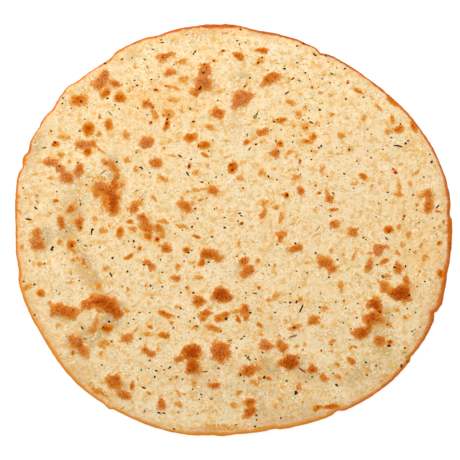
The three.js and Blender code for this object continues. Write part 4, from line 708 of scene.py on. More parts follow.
def dough_colour(finish, place, colours):
    """Dough in soft patches of cream, peach, honey and grey-green, with dim hollows and light crumbs, and
    painted shade and light.
    """
    drawn = finish.wandering(place, size=7, amount=2.0)

    def patches(size, shift, low, high):
        return finish.step(finish.noise(drawn, size, detail=3, roughness=0.6, shift=shift), low, high)

    dough = finish.mix(colours.cream, colours.peach, patches(7, 20, low=0.44, high=0.62), strength=0.8)
    dough = finish.mix(dough, colours.honey, patches(5, 40, low=0.5, high=0.68), strength=0.85)
    warmth = finish.attribute("warmth") + finish.centred(place, size=8, detail=3, shift=60) * 1.4
    dough = finish.mix(dough, colours.honey, finish.step(warmth, 0.0, 1.2), strength=0.9)
    dough = finish.mix(dough, colours.ivory_and_painted_light, finish.step(warmth, 0.0, -1.2), strength=0.9)
    dough = finish.mix(dough, colours.sage, patches(5, 120, low=0.52, high=0.68), strength=0.55)
    # Painted shade where the patches of painted light and shade are above 0, and painted light where they are
    # below 0.
    shade = finish.attribute("shade") * (finish.noise(place, size=6, detail=3, shift=80) * 3 - 0.5)
    dough = finish.mix(dough, colours.painted_shade, finish.step(shade, 0.0, 1.5), strength=0.75)
    dough = finish.mix(dough, colours.ivory_and_painted_light, finish.step(shade, 0.0, -1.2), strength=0.8)
    dough = finish.mix(dough, colours.gold, patches(3.2, 160, low=0.5, high=0.64), strength=0.72)
    rough = patches(12, 200, low=0.4, high=0.6) * 0.65 + 0.35
    dough = finish.mix(dough, colours.dim, patches(1.2, 180, low=0.54, high=0.68) * rough)
    return finish.mix(dough, colours.pale, patches(1.3, 220, low=0.5, high=0.62) * rough, strength=0.95)


def freckled_colour(finish, place, colours, freckle):
    """The soft small spots, from gold to brown. Returns the colour and its mask."""
    coarse = finish.centred(place, size=2.6, detail=3, roughness=0.6, shift=230)
    fine = finish.centred(place, size=1.2, detail=3, roughness=0.6, shift=240)
    baked = freckle + (coarse + fine * 1.6) * finish.step(freckle, 0.05, 0.4)
    stops = [(0.15, colours.gold), (0.5, colours.amber), (0.8, colours.brown), (1.0, colours.dark)]
    colour = finish.ramp(baked * 0.7, stops)
    grains = finish.step(finish.noise(place, size=0.9, roughness=0.6, shift=250), 0.56, 0.66)
    colour = finish.mix(colour, colours.dark, grains * finish.step(freckle, 0.3, 0.9), strength=0.65)
    return colour, finish.step(baked, 0.05, 0.6)


def toasted_colour(finish, place, colours, toast):
    """The blisters from amber to dark, with grains, folds and pink tops. Returns the colour and its mask."""
    coarse = finish.centred(place, size=3.0, detail=3, roughness=0.6, shift=260)
    fine = finish.centred(place, size=0.85, detail=3, roughness=0.75, shift=280)
    deep = toast + finish.attribute("deep")
    baked = deep * 0.7 + (coarse * 1.8 + fine * 4.4) * finish.step(toast, 0.2, 0.9)
    stops = [(0.15, colours.amber), (0.5, colours.brown), (0.76, colours.dark)]
    colour = finish.ramp(baked * 0.6, stops)
    light = finish.step(finish.noise(place, size=1.2, detail=3, roughness=0.6, shift=360), 0.38, 0.58)
    rosy = finish.step(finish.attribute("rosy"), 0.1, 0.8)
    colour = finish.mix(colour, colours.rose, (rosy * 0.85 + 0.08) * light)
    inside = finish.step(toast, 0.3, 0.7)
    grains = finish.step(finish.noise(place, size=1.2, roughness=0.6, shift=380), 0.54, 0.64)
    colour = finish.mix(colour, colours.dark, grains * inside, strength=0.7)
    ripples = finish.centred(place, size=2.6, detail=3, roughness=0.6, shift=320)
    from_fold = finish.node("ShaderNodeMath", {"operation": "ABSOLUTE"}, {0: ripples})
    folds = 1 - finish.step(from_fold, 0.0, 0.05)
    colour = finish.mix(colour, colours.dark, folds * inside, strength=0.6)
    edge = toast + coarse * 1.2 + fine * 1.2
    return colour, finish.step(edge, 0.1, 0.34) * finish.step(toast, 0.01, 0.1)


def rim_colour(finish, place, colours, rim):
    """The baked edge with burnt bits, painted light where the lamp leaves it in shade and painted shade where
    it faces the lamp. Returns the colour and its mask.
    """
    coarse = finish.centred(place, size=5, shift=400)
    fine = finish.centred(place, size=1.3, shift=440)
    gold_and_painted_light = finish.attribute("rim_gold")
    burnt = finish.step(finish.noise(place, size=5, detail=4, shift=480), 0.5, 0.68)
    # Painted shade from the patches of painted light and shade.
    painted_shade_share = finish.step(finish.attribute("shade"), 0.0, 1.5)
    colour = finish.mix(colours.rim, colours.rim_gold, gold_and_painted_light)
    # Char for the burnt bits, and as painted shade on the upper edge and under painted shade; the golden
    # share holds it back.
    colour = finish.mix(colour, colours.char, burnt * 0.6 - gold_and_painted_light * 0.6 + painted_shade_share * 0.5)
    return colour, 1 - finish.step(rim + (coarse * 0.9 + fine * 0.7), 0.6, 1.3)


def rim_glow(finish, place, rim):
    """How far the bake of the edge spreads into the dough beside it, in streaks along the edge."""
    coarse = finish.centred(place, size=9, detail=3, shift=500)
    fine = finish.centred(place, size=3, detail=3, shift=510)
    near = 1 - finish.step(rim + (coarse * 2 + fine * 3), 0.6, 4.0)
    wave = finish.noise(place, size=25, shift=515)
    along = finish.node("ShaderNodeCombineXYZ", None, {"X": rim * 1.5, "Y": wave * 6})
    streaks = finish.step(finish.noise(along, size=1), 0.45, 0.62)
    return finish.attribute("rim_glow") * near * (streaks * 0.7 + 0.65)


def base_colour(finish, place, colours):
    """The underside, baked on a sheet: golden with browner patches and spots."""
    patch = finish.step(finish.noise(place, size=16, detail=4, shift=520), 0.42, 0.64)
    colour = finish.mix(colours.base, colours.amber, patch, strength=0.6)
    uneven = finish.wandering(place, size=3, amount=1.5)
    spots = finish.dots(uneven, room=11, presence=0.6, smallest=1.0, largest=4.0, shift=560)
    return finish.mix(colour, colours.brown, spots, strength=0.7)


def dotted_colour(finish, place, colours, dough):
    """The dough with tiny golden and amber dots."""
    uneven = finish.wandering(place, size=1.6, amount=0.8)
    broad = finish.dots(uneven, room=6, presence=0.6, smallest=0.8, largest=2.4, shift=600)
    small = finish.dots(uneven, room=4.5, presence=0.5, smallest=0.4, largest=1.0, shift=640)
    tiny = finish.dots(uneven, room=4, presence=0.3, smallest=0.3, largest=0.6, shift=660)
    colour = finish.mix(dough, colours.gold, broad, strength=0.7)
    colour = finish.mix(colour, colours.gold, small, strength=0.8)
    return finish.mix(colour, colours.amber, tiny, strength=0.7)


def crust_finish(colours):
    """The baked crust, by how toasted, near the rim and underneath each place is."""
    finish = Finish("baked_crust")
    place = finish.millimetres()
    toast = finish.attribute("toast")
    rim = finish.attribute("rim")
    colour = dough_colour(finish, place, colours)
    colour = finish.mix(colour, colours.blush, rim_glow(finish, place, rim), strength=0.55)
    colour = dotted_colour(finish, place, colours, colour)
    freckled, freckle_mask = freckled_colour(finish, place, colours, finish.attribute("freckle"))
    colour = finish.mix(colour, freckled, freckle_mask)
    toasted, toast_mask = toasted_colour(finish, place, colours, toast)
    colour = finish.mix(colour, toasted, toast_mask)
    edge, edge_mask = rim_colour(finish, place, colours, rim)
    colour = finish.mix(colour, edge, edge_mask, strength=0.95)
    specks = finish.dots(place, room=3.4, presence=0.4, smallest=0.12, largest=0.4, shift=680)
    colour = finish.mix(colour, colours.speck, specks, strength=0.7)
    colour = finish.mix(colour, base_colour(finish, place, colours), finish.attribute("under"))
    grain = finish.noise(place, size=1.3, detail=3, shift=720)
    roughness = 0.78 - toast_mask * 0.1 - grain * 0.12
    return finish.end(colour, roughness, bump=grain, depth=0.25)


def bit_finish(name, shades, roughness):
    """A finish for scattered bits, each of its own shade, from first to last."""
    finish = Finish(name)
    stops = [(index / (len(shades) - 1), linear(*shade)) for index, shade in enumerate(shades)]
    grain = finish.noise(finish.millimetres(), size=0.5)
    colour = finish.ramp(finish.attribute("shade") + (grain - 0.5) * 0.3, stops)
    return finish.end(colour, roughness, bump=grain, depth=0.08)


def smoothstep(value, low, high):
    share = np.clip((value - low) / (high - low), 0, 1)
    return share * share * (3 - 2 * share)


class Grain:
    """Seeded smooth unevenness from -1 to 1, with bumps of a size in millimetres."""

    CELLS = 257

    def __init__(self, seed, size):
        self.size = size
        self.heights = np.random.default_rng(seed).uniform(-1, 1, (self.CELLS, self.CELLS))

    def at(self, x, y):
        columns, rows = x / self.size, y / self.size
        left, low = np.floor(columns).astype(int), np.floor(rows).astype(int)
        across = smoothstep(columns - left, 0, 1)
        up = smoothstep(rows - low, 0, 1)

        def corner(right, above):
            return self.heights[(left + right) % self.CELLS, (low + above) % self.CELLS]

        lower = corner(0, 0) * (1 - across) + corner(1, 0) * across
        upper = corner(0, 1) * (1 - across) + corner(1, 1) * across
        return lower * (1 - up) + upper * up


def spread(values, reach, pick):
    """The pick, such as the least, of all cells within a reach of each cell."""
    for axis in (0, 1):
        margins = [(reach, reach) if side == axis else (0, 0) for side in (0, 1)]
        wide = np.pad(values, margins, mode="edge")
        values = pick(np.lib.stride_tricks.sliding_window_view(wide, 2 * reach + 1, axis=axis), axis=-1)
    return values


def soften(values, radius):
    """Values of a grid blurred over a radius in cells."""
    reach = math.ceil(3 * radius)
    weights = np.exp(-0.5 * (np.arange(-reach, reach + 1) / radius) ** 2)
    weights /= weights.sum()
    for axis in (0, 1):
        margins = [(reach, reach) if side == axis else (0, 0) for side in (0, 1)]
        wide = np.pad(values, margins, mode="edge")
        values = np.lib.stride_tricks.sliding_window_view(wide, weights.size, axis=axis) @ weights
    return values


class SolidTop:
    """The solid's surface, read with straight lines: its top by the millimetre, and its edge."""

    CLEAR = 20 * MM  # how far outside the solid a line starts
    MARGIN = 4  # millimetres of the grid outside the solid
    BROWN_HEIGHT = 0.95  # millimetres: what stands this far out of the top is brown
    SPOT_REACH = 12  # millimetres: half of the widest thing that counts as standing out
    HEIGHT_BLUR = 1.5  # millimetres
    SPOT_BLUR = 0.8  # millimetres

    def __init__(self, node):
        mesh = node.data
        corners = [vertex.co for vertex in mesh.vertices]
        self.tree = BVHTree.FromPolygons(corners, [tuple(face.vertices) for face in mesh.polygons])
        low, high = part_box(NODE)
        self.ceiling = high.z + self.CLEAR
        self.far = high.length + self.CLEAR
        self.first_x = math.floor(low.x / MM) - self.MARGIN
        self.first_y = math.floor(low.y / MM) - self.MARGIN
        columns = range(self.first_x, math.ceil(high.x / MM) + self.MARGIN)
        rows = range(self.first_y, math.ceil(high.y / MM) + self.MARGIN)
        read = np.array([[self.height(x, y) for y in rows] for x in columns])
        inside = np.isfinite(read)
        nearest = spread(np.where(inside, read, -np.inf), self.MARGIN, np.max)
        filled = np.where(inside, read, np.where(np.isfinite(nearest), nearest, 0))
        pared = spread(np.where(inside, read, np.inf), self.SPOT_REACH, np.min)
        ground = spread(np.where(inside, pared, -np.inf), self.SPOT_REACH, np.max)
        standing = np.where(inside, filled - np.where(inside, ground, 0), 0)
        self.heights = soften(filled, self.HEIGHT_BLUR)
        self.spots = soften(standing, self.SPOT_BLUR) / self.BROWN_HEIGHT

    def height(self, x, y):
        """Millimetres from the base to the top at a place, or nan outside the solid."""
        hit = self.tree.ray_cast(Vector((x * MM, y * MM, self.ceiling)), Vector((0, 0, -1)))[0]
        return math.nan if hit is None else hit.z / MM

    def edge(self, angle, height):
        """Millimetres from the middle to the side at an angle and a height."""
        out = Vector((math.cos(angle), math.sin(angle), 0))
        start = out * self.far
        start.z = height * MM
        hit = self.tree.ray_cast(start, -out)[0]
        return 0 if hit is None else math.hypot(hit.x, hit.y) / MM

    def sample(self, values, x, y):
        """Values of the millimetre grid at any places, joined by straight lines."""
        columns = np.clip(x - self.first_x, 0, values.shape[0] - 1.001)
        rows = np.clip(y - self.first_y, 0, values.shape[1] - 1.001)
        left, low = columns.astype(int), rows.astype(int)
        across, up = columns - left, rows - low
        lower = values[left, low] * (1 - across) + values[left + 1, low] * across
        upper = values[left, low + 1] * (1 - across) + values[left + 1, low + 1] * across
        return lower * (1 - up) + upper * up


def oval_shares(x, y, at_x, at_y, length, width, turn):
    """How far out in a turned oval places are: 0 in its middle and 1 on its edge."""
    across, up = x - at_x - SPOT_ORIGIN[0], y - at_y - SPOT_ORIGIN[1]
    cosine, sine = math.cos(math.radians(turn)), math.sin(math.radians(turn))
    along = (across * cosine + up * sine) / (length / 2)
    aside = (up * cosine - across * sine) / (width / 2)
    return np.hypot(along, aside)


class CrustTop:
    """The dressed top: the solid's form with fine relief, and how toasted each place is."""

    STEPS = (3, 50)  # the top's hexagon is cut into 3 parts a side, and each of those into 50
    WIDEST_LEVEL = 0.9  # millimetres over the base
    RIM_INSET = 0.9  # millimetres from the widest line in to the rim
    SETTLED = (0.5, 7)  # millimetres from the edge over which the relief rises to its full height
    COARSE_SHARE = 0.6  # of the coarser of two grains that are blended
    STRAY_TURN = (0.8, 0.6)  # cosine and sine of the turn of the grains by which spots stray
    RAG_RADIUS = 130  # millimetres: radius of the circle on which the edge's raggedness is read
    RAG_STEP = 3  # millimetres by which each ring of the side reads it further on
    FRECKLE_FADE = (0.4, 1.8)  # shares of a freckle's oval over which it fades
    PATCH_FADE = (0.1, 1.1)  # shares of a broad oval over which it fades
    BLISTER_START = (0, 0.5)  # how toasted a blister is where freckles on it stop rising

    def __init__(self, form):
        self.solid = SolidTop(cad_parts[NODE])
        self.form = form
        self.swells = [Grain(seed=11, size=31), Grain(seed=12, size=14)]
        self.crumbs = [Grain(seed=13, size=4.2), Grain(seed=14, size=2.3)]
        self.wrinkles = [Grain(seed=15, size=2.6), Grain(seed=16, size=1.7)]
        self.rags = [Grain(seed=17, size=5.0), Grain(seed=18, size=2.0)]
        self.right_strays = [Grain(seed=19, size=3.3), Grain(seed=20, size=1.9)]
        self.up_strays = [Grain(seed=21, size=3.7), Grain(seed=22, size=2.1)]
        count = 6 * math.prod(self.STEPS)
        self.angles = np.arange(count + 1) * (2 * math.pi / count)
        self.widest = np.array([self.solid.edge(angle, self.WIDEST_LEVEL) for angle in self.angles])

    def blend(self, grains, x, y):
        coarse, fine = grains
        return self.COARSE_SHARE * coarse.at(x, y) + (1 - self.COARSE_SHARE) * fine.at(x, y)

    def edge_radius(self, angles):
        return np.interp(angles % (2 * math.pi), self.angles, self.widest)

    def rim_line(self, angles, column):
        """A column of the rim's list at any angles."""
        values = [line[column] for line in (*RIM_LINES, RIM_LINES[0])]
        return np.interp(angles % (2 * math.pi), np.linspace(0, 2 * math.pi, len(values)), values)

    def rag(self, angles, level=0):
        """How far the edge strays outwards, in millimetres."""
        x = self.RAG_RADIUS * np.cos(angles) + self.RAG_STEP * level
        y = self.RAG_RADIUS * np.sin(angles) + self.RAG_STEP * level
        return self.blend(self.rags, x, y) * self.rim_line(angles, 1)

    def settled(self, x, y):
        """0 at the edge and 1 further in."""
        return smoothstep(self.edge_radius(np.arctan2(y, x)) - np.hypot(x, y), *self.SETTLED)

    def strayed(self, x, y):
        """Places moved a little, so that spots have uneven edges."""
        amount = self.settled(x, y) * self.form.stray / MM
        cosine, sine = self.STRAY_TURN
        turned = (cosine * x + sine * y, cosine * y - sine * x)
        right = self.blend(self.right_strays, *turned)
        up = self.blend(self.up_strays, *turned)
        return x + right * amount, y + up * amount

    def freckle(self, x, y):
        """How toasted the small spots make each place."""
        near_x, near_y = self.strayed(x, y)
        most = np.zeros_like(x)
        for ovals, strength in FRECKLES:
            for oval in ovals:
                share = oval_shares(near_x, near_y, *oval)
                most = np.maximum(most, strength * (1 - smoothstep(share, *self.FRECKLE_FADE)))
        return most

    def toast(self, x, y):
        """How toasted each place is: 0 is plain dough and 1 is brown."""
        return self.solid.sample(self.solid.spots, *self.strayed(x, y))

    def patches(self, ovals, x, y):
        """The sum of soft ovals, each with the amount that it adds in its middle."""
        total = np.zeros_like(x)
        for *oval, amount in ovals:
            total += amount * (1 - smoothstep(oval_shares(x, y, *oval), *self.PATCH_FADE))
        return total

    def height(self, x, y):
        """Millimetres from the base to the dressed top."""
        form = self.form
        freckle = self.freckle(x, y)
        toast = np.clip(self.toast(x, y), freckle, 1)
        plain = 1 - smoothstep(self.solid.sample(self.solid.spots, x, y), *self.BLISTER_START)
        lifted = form.swell * self.blend(self.swells, x, y) + MM * self.patches(SWELLS, x, y)
        lifted += form.puff * freckle * plain
        rough = form.crumb * self.blend(self.crumbs, x, y)
        rough += form.wrinkle * toast * self.blend(self.wrinkles, x, y)
        ground = self.solid.sample(self.solid.heights, *self.strayed(x, y))
        return ground + (lifted * self.settled(x, y) + rough) / MM


@functools.cache
def crust_top():
    return CrustTop(bpy.context.scene.crust_form)


def only(*objects):
    """Selects these objects alone and makes the first active."""
    bpy.ops.object.select_all(action="DESELECT")
    for item in objects:
        item.select_set(True)
    bpy.context.view_layer.objects.active = objects[0]


def set_attribute(mesh, name, values):
    attribute = mesh.attributes.new(name, "FLOAT", "POINT")
    attribute.data.foreach_set("value", np.asarray(values, dtype=float))


def dress(piece, name, material):
    """Names a piece, gives it its finish and lets it ride with the crust."""
    piece.name = name
    piece.data.name = name
    piece.data.materials.clear()
    piece.data.materials.append(material)
    only(piece)
    bpy.ops.object.shade_smooth()
    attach(piece, BODY)


def hexagon_grid(cuts, level):
    """A hexagon of even triangles on a level, as a new object."""
    bpy.ops.object.select_all(action="DESELECT")
    bpy.ops.mesh.primitive_circle_add(vertices=6, radius=1, fill_type="TRIFAN", location=(0, 0, level))
    made = bpy.context.object
    bpy.ops.object.transform_apply(location=True, rotation=True, scale=True)
    bpy.ops.object.mode_set(mode="EDIT")
    for parts in cuts:
        bpy.ops.mesh.select_all(action="SELECT")
        bpy.ops.mesh.subdivide(number_cuts=parts - 1)
    bpy.ops.object.mode_set(mode="OBJECT")
    return made


def crust_blank(steps, levels):
    """The crust before it is shaped: a hexagon grid, sides drawn down level by level, and a coarser base."""
    blank = hexagon_grid(steps, 0)
    bpy.ops.object.mode_set(mode="EDIT")
    bpy.ops.mesh.select_all(action="SELECT")
    bpy.ops.mesh.region_to_loop()
    for _ in range(levels):
        bpy.ops.mesh.extrude_region_move(TRANSFORM_OT_translate={"value": (0, 0, -1)})
    bpy.ops.object.mode_set(mode="OBJECT")
    base = hexagon_grid((steps[0], steps[1] // 2), -levels - 1)
    bpy.ops.object.mode_set(mode="EDIT")
    bpy.ops.mesh.select_all(action="SELECT")
    bpy.ops.mesh.flip_normals()
    bpy.ops.object.mode_set(mode="OBJECT")
    only(blank, base)
    bpy.ops.object.join()
    bpy.ops.object.mode_set(mode="EDIT")
    bpy.ops.mesh.select_mode(type="EDGE")
    bpy.ops.mesh.select_all(action="DESELECT")
    bpy.ops.mesh.select_non_manifold(
        use_wire=False, use_boundary=True, use_multi_face=False, use_non_contiguous=False, use_verts=False
    )
    bpy.ops.mesh.bridge_edge_loops()
    bpy.ops.mesh.select_all(action="SELECT")
    bpy.ops.mesh.quads_convert_to_tris()
    bpy.ops.object.mode_set(mode="OBJECT")
    return blank


def unfold(places):
    """Share of the way out and angle of places on a hexagon grid, spaced evenly round a disc."""
    sixth = math.pi / 3
    angles = np.arctan2(places[:, 1], places[:, 0]) - FIRST_CORNER
    side = np.floor(angles / sixth)
    local = angles - (side + 0.5) * sixth
    share = np.hypot(places[:, 0], places[:, 1]) * np.cos(local) / math.cos(sixth / 2)
    along = 0.5 + 0.5 * np.tan(local) / math.tan(sixth / 2)
    return np.minimum(share, 1), FIRST_CORNER + (side + along) * sixth


def shape_crust(blank, top):
    """Moves the blank's points to the crust's form, and stores what its finish needs to know of each."""
    mesh = blank.data
    places = np.empty(3 * len(mesh.vertices))
    mesh.vertices.foreach_get("co", places)
    places = places.reshape(-1, 3)
    levels = np.rint(-places[:, 2]).astype(int)
    share, angles = unfold(places)
    cosine, sine = np.cos(angles), np.sin(angles)
    widest = top.edge_radius(angles)

    rim_radius = widest - top.RIM_INSET + top.rag(angles)
    radius = share * rim_radius
    z = top.height(radius * cosine, radius * sine)
    for level, height_share in enumerate(WALL_LEVELS, 1):
        ring = np.flatnonzero(levels == level)
        z[ring] *= height_share
        side = np.array([top.solid.edge(angles[i], z[i]) for i in ring])
        radius[ring] = side + top.rag(angles[ring], level)
        if height_share > TUCKED_SHARE:
            radius[ring] = np.maximum(radius[ring], rim_radius[ring])
    under = levels > len(WALL_LEVELS)
    radius[under] = share[under] * (widest[under] - BASE_INSET)
    x, y = radius * cosine, radius * sine
    bumps = 1 + top.blend(top.crumbs, x[under], y[under])
    z[under] = top.form.base_relief / MM * bumps * smoothstep(1 - share[under], 0, BASE_FADE)

    on_top = levels == 0
    inwards = np.where(z > top.WIDEST_LEVEL, widest + top.rag(angles) - radius, 0)
    set_attribute(mesh, "toast", np.where(on_top, top.toast(x, y), 0))
    set_attribute(mesh, "freckle", np.where(on_top, top.freckle(x, y), 0))
    set_attribute(mesh, "rosy", top.patches(ROSY_TOPS, x, y))
    set_attribute(mesh, "deep", top.patches(DEEP_TOPS, x, y))
    set_attribute(mesh, "warmth", top.patches(TINTS, x, y))
    # Painted light and shade on the dough and its edge.
    set_attribute(mesh, "shade", top.patches(PAINTED_LIGHT_AND_SHADE, x, y))
    set_attribute(mesh, "rim", inwards / top.rim_line(angles, 0))
    # The edge's golden bake, with painted light below and painted shade above where it is below 0.
    set_attribute(mesh, "rim_gold", top.rim_line(angles, 2))
    set_attribute(mesh, "rim_glow", top.rim_line(angles, 3))
    set_attribute(mesh, "under", under)
    mesh.vertices.foreach_set("co", (np.stack([x, y, z], 1) * MM).ravel())
    mesh.update()


def pattern_of(model):
    """Points and triangles of a small model that is then copied. The model is removed."""
    only(model)
    bpy.ops.object.mode_set(mode="EDIT")
    bpy.ops.mesh.select_all(action="SELECT")
    bpy.ops.mesh.quads_convert_to_tris()
    bpy.ops.object.mode_set(mode="OBJECT")
    points = np.array([vertex.co for vertex in model.data.vertices])
    faces = np.array([face.vertices for face in model.data.polygons])
    bpy.data.meshes.remove(model.data)
    return points, faces


def lump_pattern():
    """A lump of twenty faces, one unit in radius."""
    bpy.ops.object.select_all(action="DESELECT")
    bpy.ops.mesh.primitive_ico_sphere_add(subdivisions=1, radius=1)
    return pattern_of(bpy.context.object)


def stem_pattern():
    """A slender stalk along X, two units long and two thick, with rounded ends."""
    bpy.ops.object.select_all(action="DESELECT")
    bpy.ops.mesh.primitive_uv_sphere_add(segments=6, ring_count=8, radius=1, rotation=(0, math.pi / 2, 0))
    stalk = bpy.context.object
    bpy.ops.object.transform_apply(location=True, rotation=True, scale=True)
    return pattern_of(stalk)


def lay(points, x, y, z, turn):
    """Points turned about the vertical and moved to a place."""
    cosine, sine = math.cos(turn), math.sin(turn)
    along, aside, up = points.T
    return np.stack([x + along * cosine - aside * sine, y + along * sine + aside * cosine, z + up], 1)


def joined(name, pattern, copies, shades):
    """One object of all the copies of a pattern, each with its shade."""
    points, faces = pattern
    starts = np.arange(len(copies)) * len(points)
    triangles = (faces[None] + starts[:, None, None]).reshape(-1, 3)
    mesh = bpy.data.meshes.new(name)
    mesh.from_pydata(np.concatenate(copies) * MM, [], triangles.tolist())
    set_attribute(mesh, "shade", np.repeat(shades, len(points)))
    made = bpy.data.objects.new(name, mesh)
    bpy.context.collection.objects.link(made)
    return made


def strewn(count, seed, clumping, length, width):
    """Ovals strewn over the plain dough, many here and few there, with widths as shares of their lengths."""
    top = crust_top()
    draw = np.random.default_rng(seed)
    density = Grain(seed + 1, CLUMP_SIZE)
    ovals = []
    while len(ovals) < count:
        angle = draw.uniform(0, 2 * math.pi)
        radius = math.sqrt(draw.uniform(0, 1)) * (top.edge_radius(angle) - BARE_EDGE)
        x, y = radius * math.cos(angle), radius * math.sin(angle)
        long = length / MM * (SHORTEST + draw.uniform(0, 1) ** 2)
        wide = long * draw.uniform(*width)
        plain = top.toast(np.array([x]), np.array([y]))[0] < MOST_TOAST
        if plain and draw.uniform(0, 1) < EVEN_SHARE + clumping * density.at(x, y):
            ovals.append((x, y, long, wide, draw.uniform(0, 180), draw.uniform(0, 1)))
    return ovals


def lumps(name, ovals, seed, roughness, shades):
    """Lays an uneven lump over each oval, as one piece, and gives it its shade."""
    draw = np.random.default_rng(seed)
    pattern = lump_pattern()
    at_x, at_y, lengths, widths, turns, tones = np.array(ovals).T
    x, y = at_x + SPOT_ORIGIN[0], at_y + SPOT_ORIGIN[1]
    z = crust_top().height(x, y)
    copies = []
    for i in range(len(ovals)):
        uneven = 1 + draw.uniform(-LUMP_UNEVENNESS, LUMP_UNEVENNESS, pattern[0].shape)
        sizes = np.array([lengths[i], widths[i], widths[i] * LUMP_HEIGHT])
        shape = pattern[0] * uneven * sizes * LUMP_SPAN
        copies.append(lay(shape, x[i], y[i], z[i], math.radians(turns[i])))
    made = joined(name, pattern, copies, tones)
    dress(made, name, bit_finish(name, shades, roughness))


class CRUST_OT_bake_slab(bpy.types.Operator):
    """Models the crust over its solid and bakes it"""

    bl_idname = "crust.bake_slab"
    bl_label = "Bake Slab"

    def execute(self, context):
        top = crust_top()
        slab = crust_blank(top.STEPS, len(WALL_LEVELS))
        shape_crust(slab, top)
        dress(slab, "baked_slab", crust_finish(context.scene.crust_colours))
        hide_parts(NODE)
        return {"FINISHED"}


class CRUST_OT_lay_stems(bpy.types.Operator):
    """Lays the dried herb stems"""

    bl_idname = "crust.lay_stems"
    bl_label = "Lay Stems"

    FLATNESS = 0.8  # height over width
    BEND = 0.06  # the most that a stem bends, over its length
    BEND_MIDDLE = 0.4  # share of the bend by which the middle goes the other way from the ends
    LIFT = 0.1  # millimetres that a stem's middle line lies over the top

    def execute(self, context):
        draw = np.random.default_rng(31)
        pattern = stem_pattern()
        stalk = pattern[0]
        half = context.scene.crust_bits.stem / MM / 2
        copies = []
        for at_x, at_y, length, turn, _ in HERB_STEMS:
            x, y = at_x + SPOT_ORIGIN[0], at_y + SPOT_ORIGIN[1]
            z = crust_top().height(np.array([x]), np.array([y]))[0] + self.LIFT
            shape = stalk * np.array([length / 2, half, half * self.FLATNESS])
            bend = draw.uniform(-self.BEND, self.BEND) * length
            shape[:, 1] += bend * (stalk[:, 0] ** 2 - self.BEND_MIDDLE)
            copies.append(lay(shape, x, y, z, math.radians(turn)))
        stems = joined("herb_stems", pattern, copies, [stem[-1] for stem in HERB_STEMS])
        dress(stems, "herb_stems", bit_finish("dry_stem", STEM_SHADES, roughness=0.7))
        return {"FINISHED"}


class CRUST_OT_strew_flecks(bpy.types.Operator):
    """Strews flecks of dried leaf"""

    bl_idname = "crust.strew_flecks"
    bl_label = "Strew Leaf Flecks"

    def execute(self, context):
        bits = context.scene.crust_bits
        more = strewn(bits.flecks, seed=41, clumping=0.5, length=bits.fleck, width=(0.35, 0.8))
        lumps("leaf_flecks", LEAF_FLECKS + more, seed=42, roughness=0.75, shades=FLECK_SHADES)
        return {"FINISHED"}


class CRUST_OT_strew_greens(bpy.types.Operator):
    """Strews yellow-green bits of cauliflower and herb"""

    bl_idname = "crust.strew_greens"
    bl_label = "Strew Yellow-green Bits"

    def execute(self, context):
        bits = context.scene.crust_bits
        more = strewn(bits.greens, seed=51, clumping=0.4, length=bits.green, width=(0.25, 0.6))
        lumps("green_bits", GREEN_BITS + more, seed=52, roughness=0.7, shades=GREEN_SHADES)
        return {"FINISHED"}


class CRUST_OT_strew_beads(bpy.types.Operator):
    """Strews small toasted beads"""

    bl_idname = "crust.strew_beads"
    bl_label = "Strew Toasted Beads"

    def execute(self, context):
        bits = context.scene.crust_bits
        more = strewn(bits.beads, seed=61, clumping=0.4, length=bits.bead, width=(0.7, 1.0))
        lumps("toasted_beads", TOASTED_BEADS + more, seed=62, roughness=0.55, shades=BEAD_SHADES)
        return {"FINISHED"}


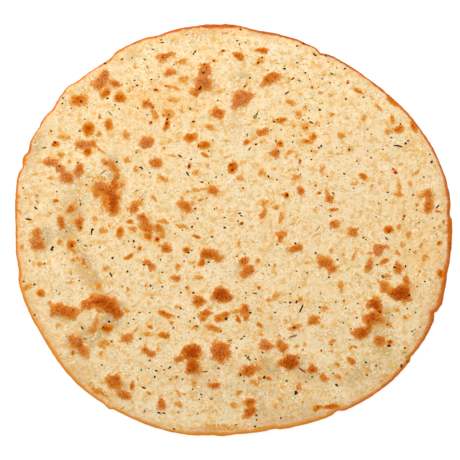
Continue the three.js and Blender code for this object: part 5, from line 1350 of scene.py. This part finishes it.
class CRUST_OT_set_stage(bpy.types.Operator):
    """Sets a pale floor under the crust, soft light round it and a camera straight above it"""

    bl_idname = "crust.set_stage"
    bl_label = "Set Stage"

    FLOOR_SIZE = 12  # metres
    FLOOR_GAP = 0.1 * MM  # from the floor to the crust
    FLOOR_GLOW = 0.8  # light that the floor gives off itself, so that it shows as white
    FLOOR_GREY = (0.4, 0.4, 0.4)
    WHITE = (1.0, 1.0, 1.0)
    LAMP_SIZE = 0.7  # metres
    LAMP_PLACE = (-0.2, 0.62, 0.85)  # metres from the crust's middle
    SENSOR = 36  # millimetres
    FARTHEST = 100  # metres that the camera sees

    def execute(self, context):
        sizes = context.scene.crust_stage
        self.lay_floor()
        self.light(context.scene, sizes)
        self.aim(context.scene, sizes)
        return {"FINISHED"}

    def lay_floor(self):
        bpy.ops.object.select_all(action="DESELECT")
        bpy.ops.mesh.primitive_plane_add(size=self.FLOOR_SIZE, location=(0, 0, -self.FLOOR_GAP))
        floor = bpy.context.object
        floor.name = "floor"
        bpy.ops.object.transform_apply(location=True, rotation=True, scale=True)
        finish = Finish("white_floor")
        light = {"Color": self.WHITE, "Strength": self.FLOOR_GLOW}
        glow = finish.node("ShaderNodeEmission", None, light, "Emission")
        plain = finish.node("ShaderNodeBsdfDiffuse", None, {"Color": self.FLOOR_GREY}, "BSDF")
        finish.show(finish.node("ShaderNodeAddShader", None, {0: glow, 1: plain}, "Shader"))
        floor.data.materials.append(finish.material)

    def light(self, scene, sizes):
        world = bpy.data.worlds.new("studio")
        world.use_nodes = True
        background = world.node_tree.nodes["Background"]
        background.inputs["Color"].default_value = (*self.WHITE, 1)
        background.inputs["Strength"].default_value = sizes.sky
        scene.world = world
        lamp = bpy.data.lights.new("soft_light", "AREA")
        lamp.shape = "DISK"
        lamp.size = self.LAMP_SIZE
        lamp.energy = sizes.key
        holder = bpy.data.objects.new("soft_light", lamp)
        holder.location = self.LAMP_PLACE
        holder.rotation_euler = (-holder.location).to_track_quat("-Z", "Y").to_euler()
        scene.collection.objects.link(holder)
        scene.view_settings.view_transform = "Standard"

    def aim(self, scene, sizes):
        top = CAD_BOX[1][2]
        lens = bpy.data.cameras.new("overhead")
        lens.sensor_width = self.SENSOR
        lens.lens = self.SENSOR * sizes.camera_height / sizes.view_width
        lens.clip_end = self.FARTHEST
        camera = bpy.data.objects.new("overhead", lens)
        camera.location = (sizes.view_x, sizes.view_y, top + sizes.camera_height)
        scene.collection.objects.link(camera)
        scene.camera = camera


class CRUST_PT_panel(bpy.types.Panel):
    """Lists the crust's pieces and sizes"""

    bl_idname = "CRUST_PT_panel"
    bl_label = "Cauliflower Pizza Crust"
    bl_space_type = "VIEW_3D"
    bl_region_type = "UI"
    bl_category = "Crust"

    def draw(self, context):
        for maker in OPERATORS:
            self.layout.operator(maker.bl_idname)
        for name in GROUPS:
            box = self.layout.box()
            group = getattr(context.scene, name)
            for entry in group.bl_rna.properties:
                if not entry.is_readonly and entry.identifier != "name":
                    box.prop(group, entry.identifier)


OPERATORS = (
    CRUST_OT_bake_slab,
    CRUST_OT_lay_stems,
    CRUST_OT_strew_flecks,
    CRUST_OT_strew_greens,
    CRUST_OT_strew_beads,
    CRUST_OT_set_stage,
)
GROUPS = {
    "crust_form": CrustForm,
    "crust_colours": CrustColours,
    "crust_bits": BitSizes,
    "crust_stage": StageSizes,
}


def register():
    for kind in (*GROUPS.values(), *OPERATORS, CRUST_PT_panel):
        bpy.utils.register_class(kind)
    for name, kind in GROUPS.items():
        setattr(bpy.types.Scene, name, bpy.props.PointerProperty(type=kind))


def unregister():
    for name in GROUPS:
        delattr(bpy.types.Scene, name)
    for kind in (CRUST_PT_panel, *reversed(OPERATORS), *GROUPS.values()):
        bpy.utils.unregister_class(kind)


def main():
    register()
    bpy.ops.crust.set_stage()
    bpy.ops.crust.bake_slab()
    bpy.ops.crust.lay_stems()
    bpy.ops.crust.strew_flecks()
    bpy.ops.crust.strew_greens()
    bpy.ops.crust.strew_beads()


if __name__ == "__main__":
    main()
